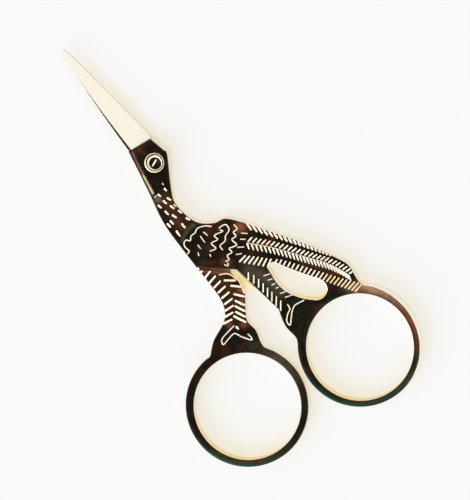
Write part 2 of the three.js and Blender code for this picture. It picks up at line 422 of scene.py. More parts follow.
@dataclass(frozen=True)
class Ornament:
    """The bird's engraved feathers, cut alike into the front and the back of both halves.

    Their places were read in a view that leans, and `laid` sets them straight.
    """

    depth: float = 0.12
    dash_width: float = 0.36
    leg_width: float = 0.42
    line_width: float = 0.21
    shaft_width: float = 0.12
    taper: float = 0.75
    curve_steps: int = 5
    view_middle: Point = (1.3, -22.38)
    view_bearing: float = 10.82  # the way that the view leans
    view_lean: float = 10.0
    view_scale: float = 0.9946
    view_shift: Point = (0.169, 0.024)

    # Short cuts down the neck
    neck_dashes: tuple[Cut, ...] = (
        (-1.8, -5.2, -84, 0.5), (-3.4, -5.3, -73, 0.5), (-2.4, -7.0, -71, 0.7), (-3.4, -7.0, -78, 0.7),
        (-4.7, -7.0, -80, 0.7), (-2.9, -8.6, -75, 0.8), (-4.4, -8.8, -84, 0.8), (-2.3, -10.2, -76, 0.7),
        (-3.7, -10.2, -73, 0.8), (-4.8, -10.8, -88, 0.8), (-5.6, -10.9, -88, 0.8),
        (-2.0, -12.2, -66, 0.7), (-3.5, -12.7, -91, 0.9), (-5.2, -13.2, -95, 1.1),
    )
    neck_fine_dashes: tuple[Cut, ...] = (
        (-1.5, -4.1, -95, 0.35), (-4.1, -5.0, 6, 0.4), (-2.3, -8.7, -80, 0.6),
    )

    # Wavy lines over the body, from the back down
    body_waves: tuple[Path, ...] = (
        ((0.5, -16.1), (-0.3, -15.3), (-1.4, -14.8), (-2.1, -14.8), (-2.6, -15.1), (-3.6, -15.1),
         (-4.3, -15.7), (-4.8, -15.1), (-5.5, -15.3), (-5.8, -16.0), (-5.7, -17.1), (-6.3, -17.3)),
        ((1.5, -17.3), (2.2, -17.3), (2.9, -17.6), (2.9, -18.4), (2.5, -18.9), (1.5, -19.2),
         (0.8, -19.9), (-0.5, -20.0), (-0.6, -20.9)),
        ((1.4, -17.7), (1.6, -18.2), (-0.1, -17.8), (-0.1, -18.8), (-1.5, -18.6), (-1.4, -19.9),
         (-2.6, -19.6)),
        ((4.1, -18.6), (4.0, -19.6), (3.1, -19.6), (3.0, -20.5), (2.0, -20.5), (2.1, -21.8),
         (1.5, -21.8), (0.5, -21.5), (0.5, -22.4), (-0.6, -22.3), (-0.8, -23.1), (-1.5, -23.0)),
        ((-2.1, -23.4), (-1.7, -23.9), (-1.4, -23.5)),
    )

    # Short cuts between those lines
    body_dashes: tuple[Cut, ...] = (
        (-1.2, -16.5, -78, 1.0), (-2.3, -17.0, -94, 1.4), (-3.7, -17.7, -91, 0.8),
        (-4.7, -18.7, -113, 0.5), (-3.1, -20.3, -111, 0.4), (4.6, -21.1, -43, 1.1),
        (3.65, -21.8, -39, 0.9), (2.4, -22.7, -35, 1.2), (1.3, -23.5, -30, 1.0),
    )

    # The tail's long feather with its barbs, the row over it and the two below
    tail_shaft: Path = (
        (3.8, -22.8), (6.7, -26.2), (9.0, -29.4), (11.4, -32.9), (13.0, -35.2), (14.1, -37.4),
        (14.9, -39.6),
    )
    upper_barbs: CutRow = CutRow(
        tail_shaft, 26, (0.95, 0.8), (8, -5), width=0.34, root=0.4, bunch=0.1)
    lower_barbs: CutRow = CutRow(
        tail_shaft, 30, (1.05, 1.0), (-110, -103), width=0.3, root=0.2, bunch=0.24)
    back_row: CutRow = CutRow(
        ((6.1, -20.0), (11.35, -28.9), (14.5, -34.8)),
        19, (1.6, 0.1), (-93, -103), width=0.37, root=-0.2, bunch=0.25)
    rump_row: CutRow = CutRow(((1.25, -24.6), (4.7, -28.45)), 7, (1.5, 1.5), (8, 27), width=0.36)
    under_row: CutRow = CutRow(
        ((5.9, -29.0), (6.7, -29.9), (8.1, -32.1), (11.5, -37.7), (14.9, -42.8)),
        22, (0.65, 1.8), (22, 9), width=0.33, bunch=0.1)

    # Feathers down the legs, and the hooked line on each foot
    front_leg_left: CutRow = CutRow(
        ((0.0, -27.9), (0.65, -30.0), (1.25, -36.1)), 8, (1.4, 1.8), (51, 50), width=0.27)
    front_leg_right: tuple[Cut, ...] = (
        (2.9, -29.9, -22, 1.1), (2.85, -31.0, -22, 0.8), (2.75, -32.1, -13, 0.65),
        (2.9, -33.05, -13, 0.45), (3.15, -34.45, -19, 0.95), (3.65, -35.7, -20, 1.5),
    )
    front_foot: Path = (
        (5.3, -38.1), (3.9, -37.8), (3.2, -37.8), (2.3, -38.3), (1.3, -39.2), (0.5, -40.0), (0.2, -40.0),
        (0.3, -39.1), (1.3, -38.2), (2.2, -37.7), (2.4, -36.8),
    )
    rear_leg_left: CutRow = CutRow(
        ((-6.35, -21.6), (-5.9, -22.6), (-5.5, -26.4), (-5.9, -29.1), (-6.6, -30.3), (-8.5, -32.1)),
        10, (1.6, 1.7), (16, -12), width=leg_width)
    rear_leg_right: tuple[Cut, ...] = (
        (-3.2, -26.3, -39, 2.0), (-2.8, -28.1, -45, 2.4), (-3.55, -29.7, -52, 2.1),
        (-4.4, -30.9, -64, 2.0), (-5.1, -31.7, -66, 2.0), (-5.7, -32.6, -66, 2.0),
        (-6.4, -33.2, -65, 2.4),
    )
    rear_hip: Path = ((-4.1, -24.2), (-2.7, -25.1), (-2.1, -26.7))
    rear_foot: Path = (
        (-8.1, -33.5), (-9.9, -33.7), (-11.4, -34.0), (-11.9, -34.6), (-11.8, -35.0), (-10.6, -34.8),
        (-9.2, -34.6), (-8.7, -34.9), (-8.3, -35.9), (-7.6, -37.1), (-7.1, -37.7), (-6.9, -37.2),
        (-7.0, -36.4),
    )
    rear_foot_dash: Cut = (-7.8, -34.2, -88, 0.6)

    def laid(self, points: Sequence[Point]) -> np.ndarray:
        """Undoes the lean of the view that the places were read in.

        Args:
            points: Places as they were read.

        Returns:
            Where they lie on the halves, as rows of x and y.
        """
        along = np.array(polar((0, 0), self.view_bearing, 1))
        offset = np.array(points) - self.view_middle
        longer = 1 / math.cos(math.radians(self.view_lean)) - 1
        straight = offset + np.outer(offset @ along, along) * longer
        return straight * self.view_scale + self.view_middle + self.view_shift

    def dash(self, x: float, y: float, bearing: float, length: float, width: float) -> Stroke:
        """A straight cut with its middle at a place, finer at its end."""
        ends = [polar((x, y), bearing, reach) for reach in (-length / 2, 0, length / 2)]
        return Stroke(self.laid(ends), width, self.taper)

    def dashes(self, cuts: Sequence[Cut], width: float) -> list[Stroke]:
        """Straight cuts of one width."""
        return [self.dash(*cut, width) for cut in cuts]

    def line(self, points: Sequence[Point], width: float | None = None) -> Stroke:
        """A fine line drawn smoothly through points."""
        return Stroke(self.laid(smooth_through(points, self.curve_steps)), width or self.line_width)

    def row(self, cuts: CutRow) -> list[Stroke]:
        """Spaces cuts along their guide.

        Args:
            cuts: What the row is like.

        Returns:
            One stroke a cut.
        """
        path = np.array(smooth_through(cuts.guide, self.curve_steps))
        along = np.concatenate([[0], np.cumsum(np.linalg.norm(np.diff(path, axis=0), axis=1))])
        shares = np.linspace(0, 1, cuts.count)
        places = along[-1] * ((1 + cuts.bunch) * shares - cuts.bunch * shares**2)
        x, y = (np.interp(places, along, column) for column in path.T)
        lengths, turns = np.linspace(*cuts.lengths, cuts.count), np.linspace(*cuts.bearings, cuts.count)
        strokes = []
        for place, length, turn in zip(zip(x, y), lengths, turns):
            middle = place if cuts.root is None else polar(place, turn, cuts.root + length / 2)
            strokes.append(self.dash(*middle, turn, length, cuts.width))
        return strokes

    def neck(self) -> list[Stroke]:
        """The cuts down the neck."""
        bold = self.dashes(self.neck_dashes, self.dash_width)
        return bold + self.dashes(self.neck_fine_dashes, self.line_width)

    def body(self) -> list[Stroke]:
        """The wavy lines over the body and the cuts between them."""
        waves = [self.line(wave) for wave in self.body_waves]
        return waves + self.dashes(self.body_dashes, self.line_width)

    def tail(self) -> list[Stroke]:
        """The tail's feather, and the rows above and below it.

        Returns:
            The feather's shaft, and one stroke a cut of each row.
        """
        rows = (self.upper_barbs, self.lower_barbs, self.back_row, self.rump_row, self.under_row)
        cuts = [cut for row in rows for cut in self.row(row)]
        return [self.line(self.tail_shaft, self.shaft_width), *cuts]

    def front_leg(self) -> list[Stroke]:
        """The front half's leg and foot."""
        right = self.dashes(self.front_leg_right, self.line_width)
        return [*self.row(self.front_leg_left), *right, self.line(self.front_foot)]

    def rear_leg(self) -> list[Stroke]:
        """The rear half's leg and foot.

        Returns:
            The cuts down the leg, its two lines and the foot's cut.
        """
        sides = [*self.row(self.rear_leg_left), *self.dashes(self.rear_leg_right, self.leg_width)]
        lines = [self.line(self.rear_hip), self.line(self.rear_foot)]
        return [*sides, *lines, self.dash(*self.rear_foot_dash, self.dash_width)]


@dataclass
class Solid:
    """A closed mesh in the making, in millimetres."""

    vertices: np.ndarray
    faces: list[tuple[int, ...]]
    surfaces: list[int]

    def piece(self, name: str, materials: Sequence[bpy.types.Material]) -> bpy.types.Object:
        """Makes the mesh and its object.

        Args:
            name: The object's name.
            materials: One material for each surface number.

        Returns:
            The object, in metres.
        """
        mesh = bpy.data.meshes.new(name)
        mesh.from_pydata((self.vertices * MM).tolist(), [], self.faces)
        for material in materials:
            mesh.materials.append(material)
        mesh.polygons.foreach_set("material_index", self.surfaces)
        mesh.update()
        piece = bpy.data.objects.new(name, mesh)
        bpy.context.scene.collection.objects.link(piece)
        return piece


def prism(corners: Sequence[Point], low: float, high: float, sides: Surface, ends: Surface) -> Solid:
    """An upright block.

    Args:
        corners: Its outline, anticlockwise.
        low: Its foot's height.
        high: Its top's height.
        sides: What its sides are finished in.
        ends: What its foot and top are finished in.

    Returns:
        The block.
    """
    count = len(corners)
    vertices = [(x, y, z) for z in (low, high) for x, y in corners]
    walls = [(i, (i + 1) % count, (i + 1) % count + count, i + count) for i in range(count)]
    faces = [tuple(reversed(range(count))), tuple(range(count, 2 * count)), *walls]
    return Solid(np.array(vertices), faces, [ends, ends, *[sides] * count])


def turned(profile: Sequence[Point], surfaces: Sequence[Surface], steps: int) -> Solid:
    """A solid of revolution about the pivot axis.

    Args:
        profile: Radius and height of each ring, from the axis at the foot to the axis at the top.
        surfaces: What each stretch of the profile is finished in.
        steps: How many sides the round has.

    Returns:
        The solid.
    """
    rings = profile[1:-1]
    turns = [360 * step / steps for step in range(steps)]
    vertices = [(*polar((0, 0), turn, radius), z) for radius, z in rings for turn in turns]
    foot, top = len(vertices), len(vertices) + 1
    vertices += [(0, 0, profile[0][1]), (0, 0, profile[-1][1])]
    faces, finishes = [], []
    for step in range(steps):
        after = (step + 1) % steps
        faces.append((foot, after, step))
        finishes.append(surfaces[0])
        for ring in range(len(rings) - 1):
            low, high = ring * steps, (ring + 1) * steps
            faces.append((low + step, low + after, high + after, high + step))
            finishes.append(surfaces[ring + 1])
        last = (len(rings) - 1) * steps
        faces.append((last + step, last + after, top))
        finishes.append(surfaces[-1])
    return Solid(np.array(vertices), faces, finishes)


def combine(piece: bpy.types.Object, solid: Solid, how: Join) -> None:
    """Joins a solid to a piece or cuts it out of it.

    Args:
        piece: The piece that changes.
        solid: What is added or cut, in the piece's own finishes.
        how: Whether it is added or cut.
    """
    other = solid.piece(how.name, piece.data.materials)
    modifier = piece.modifiers.new(how.name, "BOOLEAN")
    modifier.operation = how.value
    modifier.solver = "EXACT"
    modifier.object = other
    evaluated = piece.evaluated_get(bpy.context.evaluated_depsgraph_get())
    mesh = bpy.data.meshes.new_from_object(evaluated)
    piece.modifiers.clear()
    spent = [piece.data, other.data]
    piece.data = mesh
    bpy.data.objects.remove(other)
    for old in spent:
        bpy.data.meshes.remove(old)


def finish_mesh(piece: bpy.types.Object, crease: float) -> None:
    """Cleans a piece's mesh and shades it smooth, with creases where faces meet sharply.

    Args:
        piece: The piece.
        crease: The angle above which an edge stays sharp.
    """
    build = bmesh.new()
    build.from_mesh(piece.data)
    bmesh.ops.remove_doubles(build, verts=build.verts, dist=MERGE * MM)
    bmesh.ops.dissolve_degenerate(build, edges=build.edges, dist=MERGE * MM)
    bmesh.ops.recalc_face_normals(build, faces=build.faces)
    build.to_mesh(piece.data)
    build.free()
    piece.data.name = piece.name
    piece.data.shade_smooth()
    piece.data.set_sharp_from_angle(angle=math.radians(crease))


@dataclass
class NearestEdge:
    """What the edge of a plate nearest to each of many points is like."""

    distance: np.ndarray
    radius: np.ndarray
    bare_and_glint: np.ndarray
    shadow_wall: np.ndarray
    outward: np.ndarray  # level direction out of the plate


@dataclass
class EngravedPlate:
    """A plate with rounded edges and the same engraving in its front and back."""

    loops: list[Loop]
    strokes: list[Stroke]
    traces: list[Stroke]  # drawn on the flats but not cut, so that a fine painted highlight has points there
    thickness: float
    depth: float
    edge_steps: int = 4
    grid: float = 0.34  # spacing of the points over its flats
    clear: float = 0.12  # from those points to edges and strokes
    merge: float = 1e-5  # points of the net that are closer than this are one

    def inside(self, points: np.ndarray) -> np.ndarray:
        """Tells which points lie on the plate.

        Args:
            points: Rows of x and y.

        Returns:
            True for each point inside its outline and outside its holes.
        """
        crossings = np.zeros(len(points), int)
        for loop in self.loops:
            path = loop.closed()
            for (x0, y0), (x1, y1) in zip(path[:-1], path[1:]):
                spans = (y0 > points[:, 1]) != (y1 > points[:, 1])
                if spans.any():
                    meet = x0 + (points[spans, 1] - y0) * (x1 - x0) / (y1 - y0)
                    crossings[spans] += points[spans, 0] < meet
        return crossings % 2 == 1

    def edge_at(self, points: np.ndarray) -> NearestEdge:
        """Finds the edge nearest to each point.

        Args:
            points: Rows of x and y.

        Returns:
            What those edges are like.
        """
        count = len(points)
        found = NearestEdge(
            distance=np.full(count, np.inf),
            radius=np.zeros(count),
            bare_and_glint=np.zeros(count, bool),
            shadow_wall=np.zeros(count, bool),
            outward=np.zeros((count, 2)),
        )
        for loop in self.loops:
            path = loop.closed()
            distance, stretch, share = nearest_on(points, path)
            closer = distance < found.distance
            distance, stretch, share = distance[closer], stretch[closer], share[closer]
            after = (stretch + 1) % len(loop.points)
            run = (path[1:] - path[:-1])[stretch]
            found.distance[closer] = distance
            found.radius[closer] = loop.radius[stretch] * (1 - share) + loop.radius[after] * share
            found.bare_and_glint[closer] = loop.bare_and_glint[stretch] & loop.bare_and_glint[after]
            found.shadow_wall[closer] = loop.shadow_wall[stretch] & loop.shadow_wall[after]
            run /= np.linalg.norm(run, axis=1)[:, None]
            found.outward[closer] = np.stack([run[:, 1], -run[:, 0]], axis=1)
        return found

    def groove_at(self, points: np.ndarray) -> np.ndarray:
        """The depth of the engraving at each point."""
        return np.max([stroke.depth_at(points, self.depth) for stroke in self.strokes], axis=0)

    def flat_points(self) -> np.ndarray:
        """Spreads points over the plate's flats.

        Returns:
            The points of an even net, clear of edges and strokes, as rows of x and y.
        """
        low, high = self.loops[0].points.min(axis=0), self.loops[0].points.max(axis=0)
        rows = np.arange(low[1], high[1], self.grid * math.sqrt(3) / 2)
        starts = [low[0] + (k % 2) * self.grid / 2 for k in range(len(rows))]
        lines = [np.arange(start, high[0], self.grid) for start in starts]
        points = np.array([(x, y) for y, line in zip(rows, lines) for x in line])
        points = points[self.inside(points)]
        edge = self.edge_at(points)
        points = points[edge.distance > edge.radius + self.clear]
        drawn = self.strokes + self.traces
        gaps = [nearest_on(points, stroke.path)[0] - stroke.width / 2 for stroke in drawn]
        return points[np.min(gaps, axis=0) > self.clear]

    def net(self) -> tuple[np.ndarray, np.ndarray]:
        """Covers the plate with triangles that follow its edges and its engraving.

        Returns:
            The points, and three point numbers for each triangle.
        """
        lines = []
        for loop in self.loops:
            for step in range(self.edge_steps + 1):
                share = 1 - math.cos(math.pi / 2 * step / self.edge_steps)
                lines.append(loop.inset(share))
        for stroke in self.strokes + self.traces:
            lines += [stroke.outline(1), stroke.outline(Stroke.FLOOR_SHARE)]
        points, edges = [], []
        for line in lines:
            first = len(points)
            points.extend(line)
            edges.extend((first + k, first + (k + 1) % len(line)) for k in range(len(line)))
        points.extend(self.flat_points())
        made = delaunay_2d_cdt([Vector(point) for point in points], edges, [], 0, self.merge)
        places, triangles = np.array(made[0]), np.array(made[2])
        triangles = triangles[self.inside(places[triangles].mean(axis=1))]
        used, numbers = np.unique(triangles, return_inverse=True)
        return places[used], numbers.reshape(-1, 3)

    def solid(self) -> Solid:
        """Makes the plate.

        Returns:
            The plate between height zero and its thickness.
        """
        places, triangles = self.net()
        edge = self.edge_at(places)
        short = np.clip(edge.radius - edge.distance, 0, edge.radius)
        drop = edge.radius - np.sqrt(np.maximum(edge.radius**2 - short**2, 0)) + self.groove_at(places)
        count = len(places)
        front = np.column_stack([places, self.thickness - drop])
        back = np.column_stack([places, drop])
        centres = places[triangles].mean(axis=1)
        edge = self.edge_at(centres)
        # gold on bare roundings: wear, and painted glints
        finish = np.where(edge.bare_and_glint & (edge.distance < edge.radius), Surface.WALL, Surface.DARK)
        finish = np.where(self.groove_at(centres) > 0, Surface.LINE, finish)
        sides = {}
        for triangle in triangles:
            for k in range(3):
                sides[(triangle[k], triangle[(k + 1) % 3])] = True
        rim = [(a, b) for a, b in sides if (b, a) not in sides]
        middles = np.array([(places[a] + places[b]) / 2 for a, b in rim])
        # walls painted dark as a shadow line
        shadowed = self.edge_at(middles).shadow_wall
        faces = [tuple(t) for t in triangles] + [tuple(t[::-1] + count) for t in triangles]
        faces += [(a, a + count, b + count, b) for a, b in rim]
        walls = np.where(shadowed, Surface.DARK, Surface.WALL)
        surfaces = np.concatenate([finish, finish, walls])
        faces = [tuple(int(corner) for corner in face) for face in faces]
        return Solid(np.vstack([front, back]), faces, surfaces.tolist())


@dataclass(frozen=True)
class BirdSizes:
    """Sizes and places that the pieces share."""

    half_thickness: float = 1.65
    lap_gap: float = 0.1
    chin: Point = (-2.5, 4.72)
    brow: Point = (2.35, 4.0)
    crown: Point = (2.97, 0.65)
    poll: Point = (2.85, -0.45)
    nape: Point = (-0.72, -5.95)
    neck_waist: Point = (-1.87, -8.95)
    throat: Point = (-4.38, -3.4)
    neck_front: Point = (-5.62, -8.1)
    breast: Point = (-6.2, -12.0)
    keel: Point = (-6.5, -20.4)
    crotch: Point = (-0.8, -25.5)
    ring_bore: float = 10.25
    ring_band: float = 1.4
    ring_gap: float = 1.0
    ring_bearing: float = 168.8  # from the front ring's centre to the rear one's
    front_ring: Point = (8.1, -51.55)
    rim_growth: float = 0.06  # the rings are forged, so their edges lie a little out of true
    front_rim_shift: Point = (0.04, 0.3)
    rear_rim_shift: Point = (-0.12, 0.05)
    rear_hole_shift: Point = (-0.1, -0.08)
    lap_side: Path = ((-2.3, -8.9), (-2.0, -26.2))  # the rear half's lap, behind the body
    lap_side_gap: float = 0.8  # beside it in the front half, so that it can turn
    step_gap: float = 0.5  # between the front half's body and the step in the rear leg
    seat_depth: float = 0.75  # of the screw's head in the front face
    cutter_reach: float = 60.0  # how far cutters run where nothing bounds them

    @property
    def inner_face(self) -> float:
        """Height of the rear half's inner face."""
        return self.half_thickness

    @property
    def lap_face(self) -> float:
        """Height of the front half's inner face."""
        return self.half_thickness + self.lap_gap

    @property
    def front_face(self) -> float:
        """Height of the front face."""
        return self.lap_face + self.half_thickness

    @property
    def ring_radius(self) -> float:
        """Radius of a finger ring's outer edge."""
        return self.ring_bore + self.ring_band

    @property
    def rear_ring(self) -> Point:
        """Centre of the rear half's finger ring."""
        return polar(self.front_ring, self.ring_bearing, 2 * self.ring_radius + self.ring_gap)

    def over(self, ring: Point, feet: Sequence[Point]) -> list[Point]:
        """Places given by bearing round a ring and height over its outer edge."""
        return [polar(ring, bearing, self.ring_radius + height) for bearing, height in feet]

    def up_chest(self, outline: Outline) -> None:
        """Runs an outline from the body's lower corner up to the chin."""
        outline.curve([self.breast, self.neck_front], PLAIN_EDGE)
        outline.curve([self.throat, self.chin], CHEST_EDGE)

    def rim(self, outline: Outline, ring: Point, shift: Point, turns: Span, style: EdgeStyle) -> None:
        """Runs an outline round a finger ring's outer edge."""
        outline.arc(moved(ring, shift), self.ring_radius + self.rim_growth, turns, style)

    def finger_hole(self, ring: Point, shift: Point = (0.0, 0.0)) -> Loop:
        """Draws the hole in a finger ring.

        Args:
            ring: The ring's centre.
            shift: How far off it the hole lies.

        Returns:
            The hole's edge.
        """
        centre = moved(ring, shift)
        hole = Outline(polar(centre, 0, self.ring_bore), HOLE_EDGE)
        return hole.arc(centre, self.ring_bore, (0, 360), HOLE_EDGE).loop(hole=True)


@dataclass(frozen=True)
class Tint:
    """A colour painted along a path over the flats, or round one place: stains, and also painted
    highlights, reflections and shade.
    """

    patch: Patch
    path: Path
    reach: float
    strength: float

    def amount_at(self, places: np.ndarray) -> np.ndarray:
        """How strong the stain is at each place."""
        path = np.array(self.path if len(self.path) > 1 else self.path * 2)
        return self.strength * np.exp(-((nearest_on(places, path)[0] / self.reach) ** 2))


@dataclass(frozen=True)
class RingTint:
    """A colour painted along a finger ring's band: painted reflections and sheen of the rounded band,
    and deeper gold at the bore.
    """

    patch: Patch
    ring: Point
    band: Span  # its inner radius and its outer one
    bearing: float  # its middle
    spread: float  # to where it has faded, each way
    strength: float
    outer: float = 0.0  # how much it keeps to the band's outer half
    fade: float = 1.0  # how far past the band's outer edge it has faded

    def amount_at(self, places: np.ndarray) -> np.ndarray:
        """Finds how strong the stain is at each place.

        Args:
            places: Rows of x and y.

        Returns:
            One amount a place.
        """
        offset = places - np.array(self.ring)
        reach = np.linalg.norm(offset, axis=1)
        bearing = np.degrees(np.arctan2(offset[:, 1], offset[:, 0])) - self.bearing
        apart = np.abs((bearing + 180) % 360 - 180) / self.spread
        along = np.cos(np.clip(apart, 0, 1) * math.pi / 2) ** 2
        across = np.clip((reach - self.band[0]) / (self.band[1] - self.band[0]), 0, 1) ** self.outer
        beyond = np.clip((self.band[1] + self.fade - reach) / self.fade, 0, 1)
        return self.strength * along * across * beyond


@dataclass(frozen=True)
class StainsAndPaintedLight:
    """Where the finishes are stained, where highlights, reflections and shade are painted, and where a
    glint is painted on the edges that face the light.
    """

    sizes: BirdSizes
    glint_width: float = 0.12  # how far in from an edge the painted glint reaches
    glint_end: float = 1.15  # where it has gone, in those widths
    glint_bearing: float = 2.0  # edges that face this way, towards the light, get the strongest painted glint
    glint_least: float = 0.05  # the cosine of the turn from it at which the painted glint starts
    glint_rise: float = 0.6  # and by how much that grows until it is full
    glint_strength: float = 0.3
    reflection_inset: float = 0.25  # from a finger hole to where the painted copper reflection on the front ring starts
    deepened_band: Span = (-1.0, 0.3)  # from a finger hole's edge, the band whose gold is deepened
    lip_inset: float = 0.2  # from the front finger hole to a green line
    lip_run: tuple[float, ...] = (75, 85, 95, 105, 115, 125, 135)  # that line's bearings

    # A painted highlight and copper reflection down the cheek's bevel, and the width over which the mesh
    # is fine for it
    cheek_highlight: Path = (
        (-1.97, 4.17), (-2.42, 2.57), (-2.87, 0.77), (-3.27, -1.03), (-3.62, -2.83), (-3.92, -4.33),
    )
    cheek_highlight_steps: int = 2
    cheek_highlight_width: float = 0.3

    def traces(self) -> list[Stroke]:
        """Where the painted highlight on the cheek is too fine for the points over the flats."""
        return [Stroke(np.array(smooth_through(self.cheek_highlight, self.cheek_highlight_steps)), self.cheek_highlight_width)]

    def tints(self) -> list[Tint | RingTint]:
        """Places the stains and the painted light on both halves.

        Returns:
            The colours along paths and those on the rings.
        """
        front, rear = self.sizes.front_ring, self.sizes.rear_ring
        bore, rim = self.sizes.ring_bore, self.sizes.ring_radius
        band, reflection_band = (bore, rim), (bore + self.reflection_inset, rim)
        hole = (bore + self.deepened_band[0], bore + self.deepened_band[1])
        lip = tuple(polar(front, turn, bore + self.lip_inset) for turn in self.lip_run)
        thigh = ((1.0, -26.8), (2.6, -30.6), (3.0, -34.0))
        spots = {
            Patch.COPPER: (
                (((4.9, -19.6),), 1.1, 0.75),
                (((-1.9, -22.6), (-0.9, -23.5)), 0.6, 0.24),
                (((-4.9, -20.5), (-3.2, -21.9)), 0.5, 0.12),
                (((-3.0, -6.9), (-3.2, -8.6), (-3.6, -12.5)), 1.2, 0.2),
                (((-2.6, -29.0),), 0.8, 0.6),
                (((-4.6, -24.5), (-4.2, -28.5), (-5.5, -31.5)), 1.5, 0.1),
                (((-3.4, -30.2), (-4.6, -32.0)), 0.6, 0.4),
                (((-8.6, -32.7),), 0.7, 0.4),
                (((-6.3, -34.4),), 0.7, 0.5),
                (((-0.6, 4.1), (-0.3, 2.5)), 0.4, 0.15),
                (((14.1, -43.0), (15.2, -41.7)), 0.5, 0.6),
                (((-6.7, -20.9), (-1.8, -25.2)), 0.5, 0.6),
                (((9.6, -31.9), (13.6, -38.3)), 0.5, 0.14),
                # painted copper reflection on the cheek's bevel
                (self.cheek_highlight, 0.17, 0.6),
            ),
            Patch.WEAR_AND_HIGHLIGHT: (
                # painted highlights along the step below the body
                (((-6.1, -21.1), (-5.6, -21.5)), 0.2, 0.25),
                (((-4.9, -22.2), (-3.6, -23.3)), 0.2, 0.12),
                (((-3.95, -5.8),), 0.6, 0.16),
                (((-1.5, -13.8), (-3.0, -13.8), (-4.55, -14.3), (-5.45, -14.8)), 0.35, 0.05),
                (thigh, 1.2, 0.05),
                # painted highlight down the cheek's bevel
                (self.cheek_highlight, 0.11, 0.25),
                (self.cheek_highlight[3:], 0.11, 1.4),
            ),
            Patch.GREEN: (
                (thigh, 1.2, 0.12),
                (((5.5, -39.0), (3.8, -41.5)), 1.1, 0.1),
                (((-9.5, -36.0), (-7.4, -37.6)), 0.9, 0.08),
                (((-3.4, -18.9),), 1.2, 0.2),
                (((-1.6, 3.4), (-1.7, 1.2)), 0.8, 0.22),
                (((4.6, -37.0), (3.0, -37.0)), 0.35, 0.4),
                (lip, 0.35, 0.4),
            ),
            Patch.DEEP_GOLD_AND_SHADE: (
                (((11.6, -37.2), (15.2, -43.2)), 1.1, 0.7),
                (((4.5, -29.5), (4.3, -33.2), (5.7, -37.0), (7.8, -39.6), (9.6, -39.4)), 0.5, 1.0),
                # painted warm shade on the gold in the fork by the hip
                (((-2.3, -25.6), (-1.2, -29.6)), 0.9, 0.5),
            ),
        }
        # Painted reflections of the rounded bands: copper and a pale sheen where they face up and right,
        # teal and brown where they face down; and deeper gold on the bores' walls.
        rings = [
            RingTint(Patch.COPPER, front, reflection_band, 38, 32, 1.0, outer=0.3),
            RingTint(Patch.COPPER, front, reflection_band, 0, 66, 0.7, outer=0.25),
            RingTint(Patch.WEAR_AND_HIGHLIGHT, front, band, 32, 46, 0.2, outer=0.6),
            RingTint(Patch.GREEN, front, band, -116, 98, 1.1, outer=0.55),
            RingTint(Patch.COPPER, front, band, -100, 70, 0.14),
            RingTint(Patch.WEAR_AND_HIGHLIGHT, rear, band, 14, 50, 0.05),
            RingTint(Patch.GREEN, rear, band, -125, 85, 1.1, outer=1.1),
            RingTint(Patch.COPPER, rear, band, -125, 60, 0.16),
            RingTint(Patch.DEEP_GOLD_AND_SHADE, front, hole, -125, 130, 1.0),
            RingTint(Patch.DEEP_GOLD_AND_SHADE, rear, hole, -125, 130, 1.0),
        ]
        return [Tint(patch, *spot) for patch, found in spots.items() for spot in found] + rings

    def edge_glint(self, places: np.ndarray, plate: EngravedPlate) -> np.ndarray:
        """Finds how strong the painted glint is beside the outer edge, strongest where the edge faces
        the light.

        Args:
            places: Rows of x and y.
            plate: The plate that the edges are of.

        Returns:
            One amount a place.
        """
        edge = replace(plate, loops=plate.loops[:1]).edge_at(places)
        towards = np.array(polar((0, 0), self.glint_bearing, 1))
        facing = np.clip((edge.outward @ towards - self.glint_least) / self.glint_rise, 0, 1)
        return self.glint_strength * facing * np.clip(self.glint_end - edge.distance / self.glint_width, 0, 1)

    def paint(self, piece: bpy.types.Object, plate: EngravedPlate) -> None:
        """Stores the stains, the painted highlights, reflections and shade, and the painted edge glint
        on a piece's points.

        Args:
            piece: The piece, its mesh final.
            plate: The plate that it was made from.
        """
        places = mesh_places(piece)
        painted_channels = np.zeros((len(places), len(Patch)))
        for tint in self.tints():
            painted_channels[:, tint.patch] = np.maximum(painted_channels[:, tint.patch], tint.amount_at(places))
        # painted glint on the outer edges that face the light
        painted_channels[:, Patch.WEAR_AND_HIGHLIGHT] = np.maximum(painted_channels[:, Patch.WEAR_AND_HIGHLIGHT], self.edge_glint(places, plate))
        store_stains_and_light(piece, painted_channels)


def mesh_places(piece: bpy.types.Object) -> np.ndarray:
    """Reads where a piece's points lie.

    Args:
        piece: The piece.

    Returns:
        Rows of x and y in millimetres.
    """
    places = np.empty(len(piece.data.vertices) * 3)
    piece.data.vertices.foreach_get("co", places)
    return places.reshape(-1, 3)[:, :2] / MM


def store_stains_and_light(piece: bpy.types.Object, painted_channels: np.ndarray) -> None:
    """Stores the amounts of the stains and the painted light, one row a point, where the finishes read
    them.
    """
    layer = piece.data.attributes.new(STAINS_AND_LIGHT, "FLOAT_COLOR", "POINT")
    layer.data.foreach_set("color", painted_channels.ravel())


